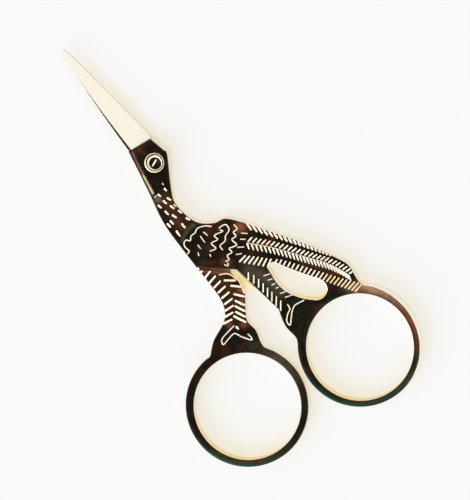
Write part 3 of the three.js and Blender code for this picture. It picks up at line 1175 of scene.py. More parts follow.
@dataclass(frozen=True)
class Blade:
    """One of the two blades: both are alike, the rear one turned half round about its length."""

    reach: float = 27.8
    shoulder: float = 4.4
    spine: float = 2.5
    spine_turn: Point = (-1.7, 20.5)
    edge: float = 2.4
    edge_turn: Point = (0.75, 24.5)
    spine_thickness: float = 1.25
    edge_thickness: float = 0.3
    tip_thickness: float = 0.4
    tang_depth: float = 2.2
    tang_inset: float = 0.6
    chamfer: float = 0.56  # bevel along the spine at the shoulder, finished dark as a painted dark reflection
    chamfer_end: float = 22.5  # where it has run out
    chamfer_slope: float = 0.7
    chamfer_share: Span = (0.01, 0.3)  # least and most of the blade's width
    overlap: float = 0.5  # stands this far through the inner face, which is then cut flat
    steps: int = 40

    # Round a cross-section: inner face, edge, ground face, bevel and spine; the dark bevel is a painted
    # dark reflection
    SIDES = (Surface.BLADE, Surface.BLADE, Surface.BLADE, Surface.DARK, Surface.BLADE)

    def solid(self, inner_face: float, rear: bool) -> Solid:
        """Makes the blade.

        Args:
            inner_face: Height of its flat inner face.
            rear: True for the blade that is turned half round.

        Returns:
            The blade, standing a little through its inner face.
        """
        tip, root = (0.0, self.reach), self.shoulder - self.tang_depth
        spines = bezier([(-self.spine, self.shoulder), self.spine_turn, tip], self.steps)
        edges = bezier([(self.edge, self.shoulder), self.edge_turn, tip], self.steps)
        spines = [(self.tang_inset - self.spine, root), *spines[:-1]]
        edges = [(self.edge - self.tang_inset, root), *edges[:-1]]
        corners = np.array([
            (-self.spine, self.shoulder, self.spine_thickness),
            (self.edge, self.shoulder, self.edge_thickness),
            (0, self.reach, self.tip_thickness),
        ])
        plane = np.cross(corners[1] - corners[0], corners[2] - corners[0])

        def height(x: float, y: float) -> float:
            """Height of the ground face over a place."""
            fall = plane[0] * (x - corners[0][0]) + plane[1] * (y - corners[0][1])
            return corners[0][2] - fall / plane[2]

        vertices, faces, surfaces = [], [], []
        for (sx, sy), (ex, ey) in zip(spines, edges):
            run = 1 - (sy - self.shoulder) / (self.chamfer_end - self.shoulder)
            share = self.chamfer * min(run, 1) / math.dist((sx, sy), (ex, ey))
            share = min(max(share, self.chamfer_share[0]), self.chamfer_share[1])
            cx, cy = sx + (ex - sx) * share, sy + (ey - sy) * share
            fall = self.chamfer_slope * math.dist((sx, sy), (cx, cy))
            vertices += [
                (sx, sy, -self.overlap),
                (ex, ey, -self.overlap),
                (ex, ey, height(ex, ey)),
                (cx, cy, height(cx, cy)),
                (sx, sy, height(cx, cy) - fall),
            ]
        ring = len(self.SIDES)
        for station in range(len(spines) - 1):
            low, high = station * ring, (station + 1) * ring
            for k in range(ring):
                after = (k + 1) % ring
                faces.append((low + k, low + after, high + after, high + k))
                surfaces.append(self.SIDES[k])
        last = (len(spines) - 1) * ring
        vertices += [(*tip, -self.overlap), (*tip, self.tip_thickness)]
        foot, point = last + ring, last + ring + 1
        faces += [
            (last, last + 1, foot),
            (last + 1, last + 2, point, foot),
            (last + 2, last + 3, point),
            (last + 3, last + 4, point),
            (last + 4, last, foot, point),
            tuple(reversed(range(ring))),
        ]
        surfaces += [*self.SIDES, Surface.WALL]
        placed = np.array(vertices)
        if rear:
            placed = placed * (-1, 1, -1)
        return Solid(placed + (0, 0, inner_face), faces, surfaces)


@dataclass
class Half:
    """What the two halves have in common, and how both are made."""

    sizes: BirdSizes
    ornament: Ornament
    finishes: list[bpy.types.Material]  # one for each Surface
    blade: Blade = field(default_factory=Blade)
    crease: float = 32.0

    def forge(self, name: str, loops: list[Loop], strokes: list[Stroke],
              steps: Sequence[tuple[Join, Solid]]) -> bpy.types.Object:
        """Makes a half from an engraved plate, and dresses it.

        Args:
            name: The piece's name.
            loops: The plate's outline, and the holes in it.
            strokes: Its engraving.
            steps: What is then added to it or cut out of it, in order.

        Returns:
            The finished piece.
        """
        stains_and_light = StainsAndPaintedLight(self.sizes)
        plate = EngravedPlate(
            loops=loops,
            strokes=strokes,
            traces=stains_and_light.traces(),
            thickness=self.sizes.front_face,
            depth=self.ornament.depth,
        )
        piece = plate.solid().piece(name, self.finishes)
        for how, solid in steps:
            combine(piece, solid, how)
        finish_mesh(piece, self.crease)
        stains_and_light.paint(piece, plate)
        return piece


@dataclass
class FrontHalf(Half):
    """Blade, head, neck, body, tail, leg and ring of the half that lies on top."""

    # Back and tail, down the right side
    neck_hollow: Point = (-1.05, -13.5)
    saddle: Point = (1.45, -15.9)
    hump: Point = (3.77, -16.65)
    loin: Point = (5.97, -19.4)
    tail_middle: Point = (12.03, -29.08)
    tail_shoulder: Point = (15.78, -36.33)

    # Feet: bearing round the ring and height over its outer edge
    tail_foot: tuple[Span, ...] = ((57.2, 3.56), (54.5, 2.06), (51.3, 0.8), (48.6, 0.42))
    leg_foot: tuple[Span, ...] = ((136.4, 0.32), (132.4, 0.75), (125.2, 3.1), (116.2, 5.35))

    # Bearings between which the ring's outer edge is free, and its roundings, each up to a bearing; on
    # the right the rounding is gold, a painted glint where the rim faces the light
    ring_start: float = 46.5
    ring_end: float = -220.5
    rim_glint: tuple[Span, ...] = ((34, 0.12), (20, 0.22), (-26, 0.32), (-46, 0.22), (-66, 0.08))
    rim_fade: Span = (-86, 0.08)

    # Teardrop window between leg and tail: places along and across from its straight side
    window_corner: Point = (5.08, -28.33)
    window_slope: float = -60.3
    window_side: float = -0.22
    window_nose: float = 1.1
    window_belly: Path = (
        (1.0, 1.85), (2.8, 3.2), (4.7, 3.95), (6.6, 4.15), (8.4, 4.03), (10.25, 3.56),
    )
    window_end: Path = (
        (11.35, 2.85), (11.85, 1.83), (11.77, 0.9), (11.16, 0.18), (10.2, -0.14), (9.0, -0.22),
    )
    nose_steps: int = 8

    # Hole for the screw
    bore: float = 1.2
    bore_foot: float = 0.5  # where its cutter starts, in the room behind the half
    seat: float = 1.68
    mouth: float = 1.87  # radius of the seat's bright conical mouth
    mouth_depth: float = 0.2
    round_steps: int = 72

    def outline(self) -> Loop:
        """Draws the half without its blade.

        Returns:
            Its outline, from the chin over the back and the ring up to the chest.
        """
        sizes = self.sizes
        outline = Outline(sizes.chin, SHOULDER_EDGE)
        outline.line(sizes.brow, SHOULDER_EDGE).line(sizes.crown, PLAIN_EDGE)
        nape = [sizes.poll, sizes.nape, sizes.neck_waist]
        outline.curve([*nape, self.neck_hollow, self.saddle, self.hump, self.loin], PLAIN_EDGE)
        tail = [self.tail_middle, self.tail_shoulder, *sizes.over(sizes.front_ring, self.tail_foot)]
        outline.curve(tail, PLAIN_EDGE)
        rim = [(end, EdgeStyle(rounding, bare_and_glint=True)) for end, rounding in self.rim_glint]
        rim += [(self.rim_fade[0], EdgeStyle(self.rim_fade[1])), (self.ring_end, RING_EDGE)]
        turn = self.ring_start
        for end, style in rim:
            sizes.rim(outline, sizes.front_ring, sizes.front_rim_shift, (turn, end), style)
            turn = end
        outline.curve(sizes.over(sizes.front_ring, self.leg_foot), PLAIN_EDGE)
        outline.line(sizes.crotch, PLAIN_EDGE).line(sizes.keel, PLAIN_EDGE)
        sizes.up_chest(outline)
        return outline.loop()

    def window(self) -> Loop:
        """Draws the window.

        Returns:
            Its edge, from its narrow end down under the tail and back up along the leg.
        """
        slope = math.radians(self.window_slope)

        def placed(along: float, across: float) -> Point:
            """Finds a place in the window.

            Args:
                along: How far it lies along the straight side.
                across: How far it lies from that side.

            Returns:
                The place.
            """
            x = along * math.cos(slope) + across * math.sin(slope)
            y = along * math.sin(slope) - across * math.cos(slope)
            return moved(self.window_corner, (x, y))

        tip, start = (0, self.window_nose), (self.window_nose, self.window_side)
        outline = Outline(placed(*tip), BELLY_EDGE)
        run = [placed(*place) for place in (tip, *self.window_belly, *self.window_end)]
        drawn = smooth_through(run, Outline.CURVE_STEPS)[1:]
        belly = len(self.window_belly) * Outline.CURVE_STEPS
        outline.extend(drawn[:belly], BELLY_EDGE).extend(drawn[belly:], WINDOW_EDGE)
        outline.line(placed(*start), SIDE_EDGE)
        nose = [placed(*place) for place in (start, (0, self.window_side), tip)]
        outline.extend(bezier(nose, self.nose_steps)[1:-1], BELLY_EDGE)
        return outline.loop(hole=True)

    def pocket(self) -> Solid:
        """Makes the room behind the half that the rear half's lap lies and turns in.

        Returns:
            The cutter for it.
        """
        far = self.sizes.cutter_reach
        top, foot = (moved(corner, (self.sizes.lap_side_gap, 0)) for corner in self.sizes.lap_side)
        corners = [(-far, foot[1]), foot, top, (far, top[1]), (far, far), (-far, far)]
        return prism(corners, -OVERRUN, self.sizes.lap_face, Surface.WALL, Surface.BLADE)

    def screw_hole(self) -> Solid:
        """Makes the screw's bore and the seat of its head, with a conical mouth.

        Returns:
            The cutter for them.
        """
        face, flare = self.sizes.front_face, self.mouth - self.seat
        seat = face - self.sizes.seat_depth
        profile = [
            (0, self.bore_foot),
            (self.bore, self.bore_foot),
            (self.bore, seat),
            (self.seat, seat),
            (self.seat, face - self.mouth_depth),
            (self.mouth + flare, face + self.mouth_depth),
            (0, face + self.mouth_depth),
        ]
        surfaces = [Surface.WALL] * 2 + [Surface.DARK] * 2 + [Surface.LINE] * 2
        return turned(profile, surfaces, self.round_steps)

    def build(self) -> bpy.types.Object:
        """Makes and dresses the half.

        Returns:
            The finished piece.
        """
        sizes, cuts = self.sizes, self.ornament
        return self.forge(
            "front_forging",
            loops=[self.outline(), self.window(), sizes.finger_hole(sizes.front_ring)],
            strokes=cuts.neck() + cuts.body() + cuts.tail() + cuts.front_leg(),
            steps=[
                (Join.ADD, self.blade.solid(sizes.lap_face, rear=False)),
                (Join.CUT, self.pocket()),
                (Join.CUT, self.screw_hole()),
            ],
        )


@dataclass
class RearHalf(Half):
    """Blade, lap, leg and ring of the half that lies behind."""

    head_peek: float = 0.35  # how far the head stands out behind the front one
    knee_right: Path = ((-1.65, -27.6), (-2.4, -30.0))
    knee_left: Path = ((-6.7, -27.4), (-6.55, -24.0))

    # Foot: bearing round the ring and height over its outer edge
    leg_right: tuple[Span, ...] = ((51.5, 6.55), (50.4, 4.5), (44.2, 2.9), (39.2, 0.95), (35.2, 0.12))
    leg_left: tuple[Span, ...] = ((87.8, 0.12), (83, 1.1), (77.1, 2.45), (66.3, 4.9), (63.9, 7.35))
    ring_run: Span = (32.5, -268.5)

    ground_from: float = -12.0  # where the lap's ground flat starts
    step_overrun: float = 9.0  # how far the step in the leg is cut past the body, each way
    fork_shade_height: float = 1.5  # low gold sheet in the fork beside the knee, clear of the front leg, standing for the warm shade and gold reflection on the floor there
    fork_shade_foot: float = 0.05
    fork_shade_outline: Path = (
        (-2.7, -25.2), (-2.7, -30.2), (-1.46, -29.95), (-0.82, -30.2), (-0.95, -29.0), (-1.17, -27.0),
        (-1.32, -26.0), (-1.5, -25.75), (-1.9, -25.3),
    )
    thread_hole: float = 0.95
    hole_chamfer: float = 0.1
    round_steps: int = 64

    def outline(self) -> Loop:
        """Draws the half without its blade.

        Returns:
            Its outline, from the chin down the lap's side and round the ring up to the chest.
        """
        sizes = self.sizes
        head = (sizes.brow, sizes.crown, sizes.poll)
        brow, crown, poll = (moved(place, (self.head_peek, 0)) for place in head)
        outline = Outline(sizes.chin, SHOULDER_EDGE)
        outline.line(brow, SHOULDER_EDGE).line(crown, PLAIN_EDGE)
        outline.curve([poll, sizes.nape, sizes.lap_side[0]], PLAIN_EDGE)
        outline.line(sizes.lap_side[1], PLAIN_EDGE)
        outline.curve(self.knee_right, HIP_EDGE)
        outline.curve(sizes.over(sizes.rear_ring, self.leg_right), PLAIN_EDGE)
        sizes.rim(outline, sizes.rear_ring, sizes.rear_rim_shift, self.ring_run, RING_EDGE)
        foot = sizes.over(sizes.rear_ring, self.leg_left)
        outline.curve([*foot, *self.knee_left, sizes.keel], PLAIN_EDGE)
        sizes.up_chest(outline)
        return outline.loop()

    def over_lap(self) -> Solid:
        """Makes the room over the lap's dark part, down to the step where the leg is at full thickness.

        Returns:
            The cutter for it.
        """
        sizes, far = self.sizes, self.sizes.cutter_reach
        keel, crotch = np.array(sizes.keel), np.array(sizes.crotch)
        along = (crotch - keel) / np.linalg.norm(crotch - keel)
        gap = np.array([along[1], -along[0]]) * sizes.step_gap
        left, right = keel + gap - along * self.step_overrun, crotch + gap + along * self.step_overrun
        corners = [tuple(left), tuple(right), (far, self.ground_from), (-far, self.ground_from)]
        return prism(corners, sizes.inner_face, sizes.front_face + OVERRUN, Surface.DARK, Surface.DARK)

    def over_flat(self) -> Solid:
        """Makes the room over the lap's flat from the neck to the blade's tip, which is ground bright.

        Returns:
            The cutter for it.
        """
        sizes, far = self.sizes, self.sizes.cutter_reach
        corners = [(-far, self.ground_from), (far, self.ground_from), (far, far), (-far, far)]
        return prism(corners, sizes.inner_face, sizes.front_face + OVERRUN, Surface.DARK, Surface.BLADE)

    def fork_shade_sheet(self) -> Solid:
        """A low gold sheet that fills the fork between the knee and the front leg: painted warm shade
        and gold reflection on the floor there.
        """
        return prism(self.fork_shade_outline, self.fork_shade_foot, self.fork_shade_height, Surface.WALL, Surface.WALL)

    def screw_hole(self) -> Solid:
        """Makes the threaded hole, its mouth chamfered at the back.

        Returns:
            The cutter for it.
        """
        hole, top = self.thread_hole, self.sizes.front_face
        mouth = hole + self.hole_chamfer
        profile = [
            (0, -OVERRUN),
            (mouth, -OVERRUN),
            (mouth, 0),
            (hole, self.hole_chamfer),
            (hole, top),
            (0, top),
        ]
        return turned(profile, [Surface.WALL] * 5, self.round_steps)

    def build(self) -> bpy.types.Object:
        """Makes and dresses the half.

        Returns:
            The finished piece.
        """
        sizes, cuts = self.sizes, self.ornament
        return self.forge(
            "rear_forging",
            loops=[self.outline(), sizes.finger_hole(sizes.rear_ring, sizes.rear_hole_shift)],
            strokes=cuts.neck() + cuts.body() + cuts.rear_leg(),
            steps=[
                (Join.ADD, self.blade.solid(sizes.inner_face, rear=True)),
                (Join.CUT, self.over_lap()),
                (Join.CUT, self.over_flat()),
                # painted shade: a gold sheet in the fork where the floor lies in warm shade
                (Join.ADD, self.fork_shade_sheet()),
                (Join.CUT, self.screw_hole()),
            ],
        )


@dataclass
class EyeScrew:
    """The slotted pivot screw, whose dished head is the bird's eye."""

    sizes: BirdSizes
    finishes: list[bpy.types.Material]  # one for each Surface
    shank: float = 1.15
    thread: float = 0.9
    thread_chamfer: float = 0.1
    head: float = 1.6
    rim_round: float = 0.12
    rim_middle: float = 0.3  # how far in the middle of that rounding lies, to its radius
    dish_depth: float = 0.2
    dish_rings: int = 28
    highlight_outer: Span = (0.05, 1.42)  # the painted highlight ring's outer circle: its shift and its radius
    highlight_inner: Span = (0.2, 1.2)  # the same of its inner circle, so that it is wide on one side
    proud: float = 0.2
    clearance: float = 0.05
    slot_width: float = 0.3
    slot_length: float = 1.45
    slot_depth: float = 0.4
    slot_bearing: float = 21.0
    highlight_bearing: float = -60.0  # the way that those circles are shifted
    highlight_blur: float = 0.06
    highlight_strength: float = 1.6
    steps: int = 96
    crease: float = 25.0

    @property
    def top(self) -> float:
        """Height of the head's rim."""
        return self.sizes.front_face + self.proud

    def turned_blank(self) -> Solid:
        """Turns the screw.

        Returns:
            The screw before its slot is cut.
        """
        seat = self.sizes.front_face - self.sizes.seat_depth + self.clearance
        shoulder = self.sizes.inner_face + self.clearance
        rim, middle = self.head - self.rim_round, self.rim_middle * self.rim_round
        profile = [
            (0, 0),
            (self.thread - self.thread_chamfer, 0),
            (self.thread, self.thread_chamfer),
            (self.thread, shoulder),
            (self.shank, shoulder),
            (self.shank, seat),
            (self.head, seat),
            (self.head, self.top - self.rim_round),
            (self.head - middle, self.top - middle),
        ]
        plain = len(profile) - 2
        for ring in range(self.dish_rings):
            radius = rim * (1 - ring / self.dish_rings)
            profile.append((radius, self.top - self.dish_depth * (1 - (radius / rim) ** 2)))
        profile.append((0, self.top - self.dish_depth))
        surfaces = [Surface.WALL] * plain + [Surface.DARK] * (self.dish_rings + 1)
        return turned(profile, surfaces, self.steps)

    def slot(self) -> Solid:
        """Makes the screwdriver slot in the dish.

        Returns:
            The cutter for it.
        """
        half, reach = self.slot_width / 2, self.slot_length / 2
        corners = [(-reach, -half), (reach, -half), (reach, half), (-reach, half)]
        angle = math.radians(self.slot_bearing)
        turn = np.array([(math.cos(angle), math.sin(angle)), (-math.sin(angle), math.cos(angle))])
        placed = [tuple(corner) for corner in np.array(corners) @ turn]
        return prism(placed, self.top - self.slot_depth, self.top + OVERRUN, Surface.LINE, Surface.LINE)

    def paint(self, piece: bpy.types.Object) -> None:
        """Paints a highlight ring on the dish, widest on the side that faces the light.

        Args:
            piece: The screw, its mesh final.
        """
        places = mesh_places(piece)
        shares = []
        for shift, radius in (self.highlight_inner, self.highlight_outer):
            centre = polar((0, 0), self.highlight_bearing, shift)
            beyond = np.linalg.norm(places - centre, axis=1) - radius
            shares.append(np.clip(beyond / self.highlight_blur + 0.5, 0, 1))
        painted_channels = np.zeros((len(places), len(Patch)))
        # painted highlight ring on the dish
        painted_channels[:, Patch.WEAR_AND_HIGHLIGHT] = self.highlight_strength * shares[0] * (1 - shares[1])
        store_stains_and_light(piece, painted_channels)

    def build(self) -> bpy.types.Object:
        """Makes and dresses the screw.

        Returns:
            The finished piece.
        """
        piece = self.turned_blank().piece("eye_screw", self.finishes)
        combine(piece, self.slot(), Join.CUT)
        finish_mesh(piece, self.crease)
        self.paint(piece)
        return piece


MIX_FACTOR, MIX_A, MIX_B, MIX_RESULT = 0, 6, 7, 2  # a Mix node's sockets for colours


def new_material(name: str) -> tuple[bpy.types.Material, bpy.types.NodeTree]:
    """Starts a material.

    Args:
        name: What it is, and how its surface was made.

    Returns:
        The material and its empty node tree.
    """
    material = bpy.data.materials.new(name)
    material.use_nodes = True
    material.node_tree.nodes.clear()
    return material, material.node_tree


@dataclass(frozen=True)
class Polish:
    """How smooth a metal is: one fine pattern gives both its gloss and its relief."""

    roughness: Span  # where the pattern is low and where it is high
    bump: float
    depth: float  # of the relief
    metallic: float = 1.0

    def dress(self, tree: bpy.types.NodeTree, colour: bpy.types.NodeSocket,
              pattern: bpy.types.NodeSocket) -> None:
        """Ends a metal's nodes with its gloss, its relief and its shader.

        Args:
            tree: The material's node tree.
            colour: The output that gives its colour.
            pattern: The output that gives the fine pattern.
        """
        gloss = add_node(tree, "ShaderNodeMapRange", inputs={
            "Value": pattern, "To Min": self.roughness[0], "To Max": self.roughness[1]})
        relief = add_node(tree, "ShaderNodeBump", inputs={
            "Strength": self.bump, "Distance": self.depth * MM, "Height": pattern})
        shader = add_node(tree, "ShaderNodeBsdfPrincipled", inputs={
            "Base Color": colour, "Metallic": self.metallic,
            "Roughness": gloss.outputs["Result"], "Normal": relief.outputs["Normal"]})
        add_node(tree, "ShaderNodeOutputMaterial", inputs={"Surface": shader.outputs["BSDF"]})


@dataclass(frozen=True)
class AntiquedBronze:
    """Gold-plated steel, darkened and lacquered: near black, with cloudy red and olive stains."""

    black: str = "1b140f"
    brown: str = "3a2016"
    olive: str = "1f2016"
    # copper and green: stains, and also painted reflections on the rings and the cheek
    copper: str = "9a5a34"
    green: str = "0d4034"
    # pale gold for wear and for painted highlights and glints
    wear_and_highlight: str = "f7e6c4"
    cloud: float = 4.5  # size of the red-brown clouds
    cloud_rise: Span = (0.48, 0.72)  # noise over which they go from none to full
    smoke: float = 2.6  # size of the olive ones
    smoke_rise: Span = (0.48, 0.68)
    smoke_seed: float = 3.0
    thin_rise: Span = (0.3, 0.6)  # noise over which the stains and painted light on the mesh go from thin to full
    thin_share: Span = (0.6, 1.1)  # and what is left of them there
    grain: float = 0.5  # drawn coarser than the real grain, so that it shows
    polish: Polish = Polish(roughness=(0.26, 0.42), bump=0.06, depth=0.1)

    def material(self) -> bpy.types.Material:
        """Builds the material.

        Returns:
            The material, clouded by noise and by the stains and painted light stored on the mesh.
        """
        material, tree = new_material("antiqued bronze, darkened and lacquered")
        place = add_node(tree, "ShaderNodeTexCoord").outputs["Object"]
        cloud = add_node(tree, "ShaderNodeTexNoise", inputs={
            "Vector": place, "Scale": per_mm(self.cloud), "Detail": 3.0, "Distortion": 0.8})
        smoke = add_node(tree, "ShaderNodeTexNoise", {"noise_dimensions": "4D"}, {
            "Vector": place, "W": self.smoke_seed, "Scale": per_mm(self.smoke),
            "Detail": 4.0, "Distortion": 1.2})
        grain = add_node(tree, "ShaderNodeTexNoise", inputs={
            "Vector": place, "Scale": per_mm(self.grain), "Detail": 2.0})
        layers = []
        clouds = ((cloud, self.cloud_rise, self.brown), (smoke, self.smoke_rise, self.olive))
        for noise, rise, overlay_colour in clouds:
            amount = add_node(tree, "ShaderNodeMapRange", {"interpolation_type": "SMOOTHSTEP"}, {
                "Value": noise.outputs["Fac"], "From Min": rise[0], "From Max": rise[1]})
            layers.append((amount.outputs["Result"], overlay_colour))
        broken = add_node(tree, "ShaderNodeMapRange", inputs={
            "Value": smoke.outputs["Fac"],
            "From Min": self.thin_rise[0], "From Max": self.thin_rise[1],
            "To Min": self.thin_share[0], "To Max": self.thin_share[1]})
        painted_channels = add_node(tree, "ShaderNodeAttribute", {"attribute_name": STAINS_AND_LIGHT})
        shares = add_node(tree, "ShaderNodeSeparateColor", inputs={"Color": painted_channels.outputs["Color"]})
        # the mesh's channels: stains, painted reflections, highlights and glints
        for share, overlay_colour in zip(shares.outputs, (self.copper, self.green, self.wear_and_highlight)):
            amount = add_node(tree, "ShaderNodeMath", {"operation": "MULTIPLY", "use_clamp": True}, {
                0: share, 1: broken.outputs["Result"]})
            layers.append((amount.outputs["Value"], overlay_colour))
        colour = linear(self.black)
        for amount, layer in layers:
            mixed = add_node(tree, "ShaderNodeMix", {"data_type": "RGBA"}, {
                MIX_FACTOR: amount, MIX_A: colour, MIX_B: linear(layer)})
            colour = mixed.outputs[MIX_RESULT]
        self.polish.dress(tree, colour, grain.outputs["Fac"])
        return material


@dataclass(frozen=True)
class GoldPlate:
    """Electroplated gold over steel: pale and bright where it is rubbed, yellower where it is thick, and
    deepened where the mesh stores deeper gold and painted shade.
    """

    name: str
    pale: str
    deep: str
    clouding: float = 0.35
    cloud: float = 2.0
    cloud_rise: Span = (0.35, 0.7)  # noise over which the clouds go from none to full
    scratch: float = 0.35  # drawn coarser than the real hairlines, so that they show
    polish: Polish = Polish(roughness=(0.24, 0.36), bump=0.05, depth=0.05)

    def material(self) -> bpy.types.Material:
        """Builds the material.

        Returns:
            The material, its colour and gloss varied by noise.
        """
        material, tree = new_material(self.name)
        place = add_node(tree, "ShaderNodeTexCoord").outputs["Object"]
        cloud = add_node(tree, "ShaderNodeTexNoise", inputs={
            "Vector": place, "Scale": per_mm(self.cloud), "Detail": 3.0})
        fine = add_node(tree, "ShaderNodeTexNoise", inputs={
            "Vector": place, "Scale": per_mm(self.scratch), "Detail": 2.0})
        wear = add_node(tree, "ShaderNodeMapRange", {"interpolation_type": "SMOOTHSTEP"}, {
            "Value": cloud.outputs["Fac"],
            "From Min": self.cloud_rise[0], "From Max": self.cloud_rise[1], "To Max": self.clouding})
        # the mesh's fourth channel deepens the gold, painted warm shade in the fork among it
        painted_channels = add_node(tree, "ShaderNodeAttribute", {"attribute_name": STAINS_AND_LIGHT})
        share = add_node(tree, "ShaderNodeMath", {"operation": "ADD", "use_clamp": True}, {
            0: wear.outputs["Result"], 1: painted_channels.outputs["Alpha"]})
        colour = add_node(tree, "ShaderNodeMix", {"data_type": "RGBA"}, {
            MIX_FACTOR: share.outputs["Value"], MIX_A: linear(self.pale), MIX_B: linear(self.deep)})
        self.polish.dress(tree, colour.outputs[MIX_RESULT], fine.outputs["Fac"])
        return material


@dataclass(frozen=True)
class GroundSteel:
    """Hardened steel, ground across and gold washed: cream, with faint lines from spine to edge."""

    cream: str = "fdf7e7"
    shade: str = "faf2df"
    streak: float = 0.25  # drawn coarser than the real grinding lines, so that they show
    streak_length: float = 6.0
    streak_rise: Span = (0.3, 0.7)  # noise over which the colour goes from cream to shade
    polish: Polish = Polish(roughness=(0.3, 0.4), bump=0.08, depth=0.05)

    def material(self) -> bpy.types.Material:
        """Builds the material.

        Returns:
            The material, with grinding lines that run across the blades.
        """
        material, tree = new_material("ground steel, gold washed")
        place = add_node(tree, "ShaderNodeTexCoord").outputs["Object"]
        scale = (per_mm(self.streak_length), per_mm(self.streak), per_mm(self.streak_length))
        run = add_node(tree, "ShaderNodeMapping", inputs={"Vector": place, "Scale": scale})
        lines = add_node(tree, "ShaderNodeTexNoise", inputs={
            "Vector": run.outputs["Vector"], "Scale": 1.0, "Detail": 3.0})
        tone = add_node(tree, "ShaderNodeMapRange", inputs={
            "Value": lines.outputs["Fac"],
            "From Min": self.streak_rise[0], "From Max": self.streak_rise[1]})
        colour = add_node(tree, "ShaderNodeMix", {"data_type": "RGBA"}, {
            MIX_FACTOR: tone.outputs["Result"], MIX_A: linear(self.cream), MIX_B: linear(self.shade)})
        self.polish.dress(tree, colour.outputs[MIX_RESULT], lines.outputs["Fac"])
        return material


@dataclass(frozen=True)
class StudioPaper:
    """Matt white paper, brightly lit: an even white, seen and reflected, with faint warm shadows."""

    lit: str = "6980a4"  # what shadows take away, bluish so that they come out warm
    even: str = "fff0cd"  # what they leave, which makes the two together white
    glow: float = 0.766

    def material(self) -> bpy.types.Material:
        """Builds the material.

        Returns:
            The material, which glows where the camera or a reflection sees it.
        """
        material, tree = new_material("white paper, matt")
        path = add_node(tree, "ShaderNodeLightPath")
        seen = add_node(tree, "ShaderNodeMath", {"operation": "ADD"}, {
            0: path.outputs["Is Camera Ray"], 1: path.outputs["Is Glossy Ray"]})
        seen = add_node(tree, "ShaderNodeMath", {"operation": "ADD", "use_clamp": True}, {
            0: seen.outputs["Value"], 1: path.outputs["Is Transmission Ray"]})
        glow = add_node(tree, "ShaderNodeMath", {"operation": "MULTIPLY"}, {
            0: seen.outputs["Value"], 1: self.glow})
        shader = add_node(tree, "ShaderNodeBsdfPrincipled", inputs={
            "Base Color": linear(self.lit), "Roughness": 1.0, "Specular IOR Level": 0.0,
            "Emission Color": linear(self.even), "Emission Strength": glow.outputs["Value"]})
        add_node(tree, "ShaderNodeOutputMaterial", inputs={"Surface": shader.outputs["BSDF"]})
        return material


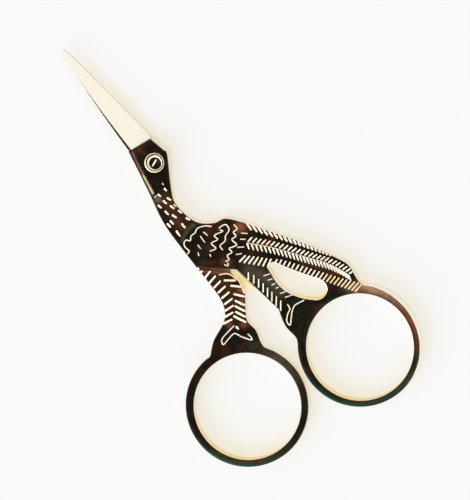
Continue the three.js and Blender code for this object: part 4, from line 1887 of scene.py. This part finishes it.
@dataclass
class Studio:
    """The white floor, soft light and camera."""

    paper: StudioPaper
    floor_size: float = 4000.0
    floor_drop: float = 0.02  # keeps it clear of the halves' backs
    sky: str = "ffffff"
    horizon: str = "f3f1ee"
    sky_rise: Span = (0.0, 0.8)  # sines of the heights between which the horizon turns into sky
    sky_strength: float = 0.95
    sun_strength: float = 1.9
    sun_angle: float = 55.0
    sun_height: float = 38.0
    sun_bearing: float = 222.0  # from the image's right
    image_turn: float = 39.18  # +X lies this far anticlockwise from the image's right
    tilt: float = 10.0  # the camera's lean from straight above
    tilt_bearing: float = 50.0  # towards which it leans, from the image's right
    roll: float = 0.42
    distance: float = 2500.0
    view_height: float = 94.49  # what the image's long side spans at the target
    target: tuple[float, float, float] = (1.376, -22.407, 3.4)
    sensor: float = 36.0
    clip: Span = (10.0, 10000.0)

    def across(self, bearing: float) -> Vector:
        """A level direction in the frame for a bearing from the image's right."""
        return Vector((*polar((0, 0), bearing - self.image_turn, 1), 0))

    def floor(self) -> None:
        """Lays the floor."""
        half = self.floor_size / 2
        corners = [(-half, -half), (half, -half), (half, half), (-half, half)]
        vertices = np.array([(x, y, -self.floor_drop) for x, y in corners])
        floor = Solid(vertices, [(0, 1, 2, 3)], [0]).piece("floor", [self.paper.material()])

    def world(self) -> None:
        """Lights the room from all round, brightest overhead."""
        world = bpy.data.worlds.new("soft room")
        world.use_nodes = True
        bpy.context.scene.world = world
        tree = world.node_tree
        tree.nodes.clear()
        place = add_node(tree, "ShaderNodeTexCoord").outputs["Generated"]
        height = add_node(tree, "ShaderNodeSeparateXYZ", inputs={"Vector": place})
        rise = add_node(tree, "ShaderNodeMapRange", {"interpolation_type": "SMOOTHSTEP"}, {
            "Value": height.outputs["Z"],
            "From Min": self.sky_rise[0], "From Max": self.sky_rise[1]})
        colour = add_node(tree, "ShaderNodeMix", {"data_type": "RGBA"}, {
            MIX_FACTOR: rise.outputs["Result"], MIX_A: linear(self.horizon), MIX_B: linear(self.sky)})
        light = add_node(tree, "ShaderNodeBackground", inputs={
            "Color": colour.outputs[MIX_RESULT], "Strength": self.sky_strength})
        add_node(tree, "ShaderNodeOutputWorld", inputs={"Surface": light.outputs["Background"]})

    def sun(self) -> None:
        """Hangs one wide soft lamp over the image's lower left."""
        lamp = bpy.data.lights.new("soft lamp", "SUN")
        lamp.energy = self.sun_strength
        lamp.angle = math.radians(self.sun_angle)
        holder = bpy.data.objects.new("soft lamp", lamp)
        height = math.radians(self.sun_height)
        towards = self.across(self.sun_bearing) * math.cos(height) + Vector((0, 0, math.sin(height)))
        holder.rotation_mode = "QUATERNION"
        holder.rotation_quaternion = towards.to_track_quat("Z", "Y")
        bpy.context.scene.collection.objects.link(holder)

    def camera(self) -> None:
        """Places the camera nearly straight above, as the photograph was taken."""
        data = bpy.data.cameras.new("camera")
        data.sensor_width = self.sensor
        data.lens = self.sensor * self.distance / self.view_height
        data.clip_start, data.clip_end = (end * MM for end in self.clip)
        lean = math.radians(self.tilt)
        back = self.across(self.tilt_bearing) * math.sin(lean) + Vector((0, 0, math.cos(lean)))
        up = self.across(90 - self.roll)
        right = up.cross(back).normalized()
        turn = Matrix((right, back.cross(right), back)).transposed()
        place = (Vector(self.target) + back * self.distance) * MM
        holder = bpy.data.objects.new("camera", data)
        holder.matrix_world = Matrix.Translation(place) @ turn.to_4x4()
        bpy.context.scene.collection.objects.link(holder)
        bpy.context.scene.camera = holder

    def build(self) -> None:
        """Sets up the whole studio."""
        self.floor()
        self.world()
        self.sun()
        self.camera()
        bpy.context.scene.view_settings.view_transform = "Standard"


def main() -> None:
    """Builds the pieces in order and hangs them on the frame."""
    logging.basicConfig(level=logging.INFO, format="%(name)s: %(message)s")
    Studio(StudioPaper()).build()
    looks = {
        Surface.DARK: AntiquedBronze(),
        Surface.WALL: GoldPlate("gold plate, polished", pale="fffaee", deep="ffe08c", clouding=0.2),
        Surface.LINE: GoldPlate("gold plate, in engraved lines", pale="fffaf0", deep="f8e0ac"),
        Surface.BLADE: GroundSteel(),
    }
    finishes = [looks[surface].material() for surface in Surface]
    sizes, ornament = BirdSizes(), Ornament()
    made = (
        (FrontHalf(sizes, ornament, finishes), "front", "front_half", "antiqued_bronze"),
        (RearHalf(sizes, ornament, finishes), "rear", "rear_half", "antiqued_bronze"),
        (EyeScrew(sizes, finishes), "rear", "pivot_screw", "screw_gold"),
    )
    for part, body, node, slot in made:
        piece = part.build()
        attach(piece, body)
        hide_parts(node)
        LOG.info("%s: %d faces, rides on %s for %s", piece.name, len(piece.data.polygons), body, node)


if __name__ == "__main__":
    main()
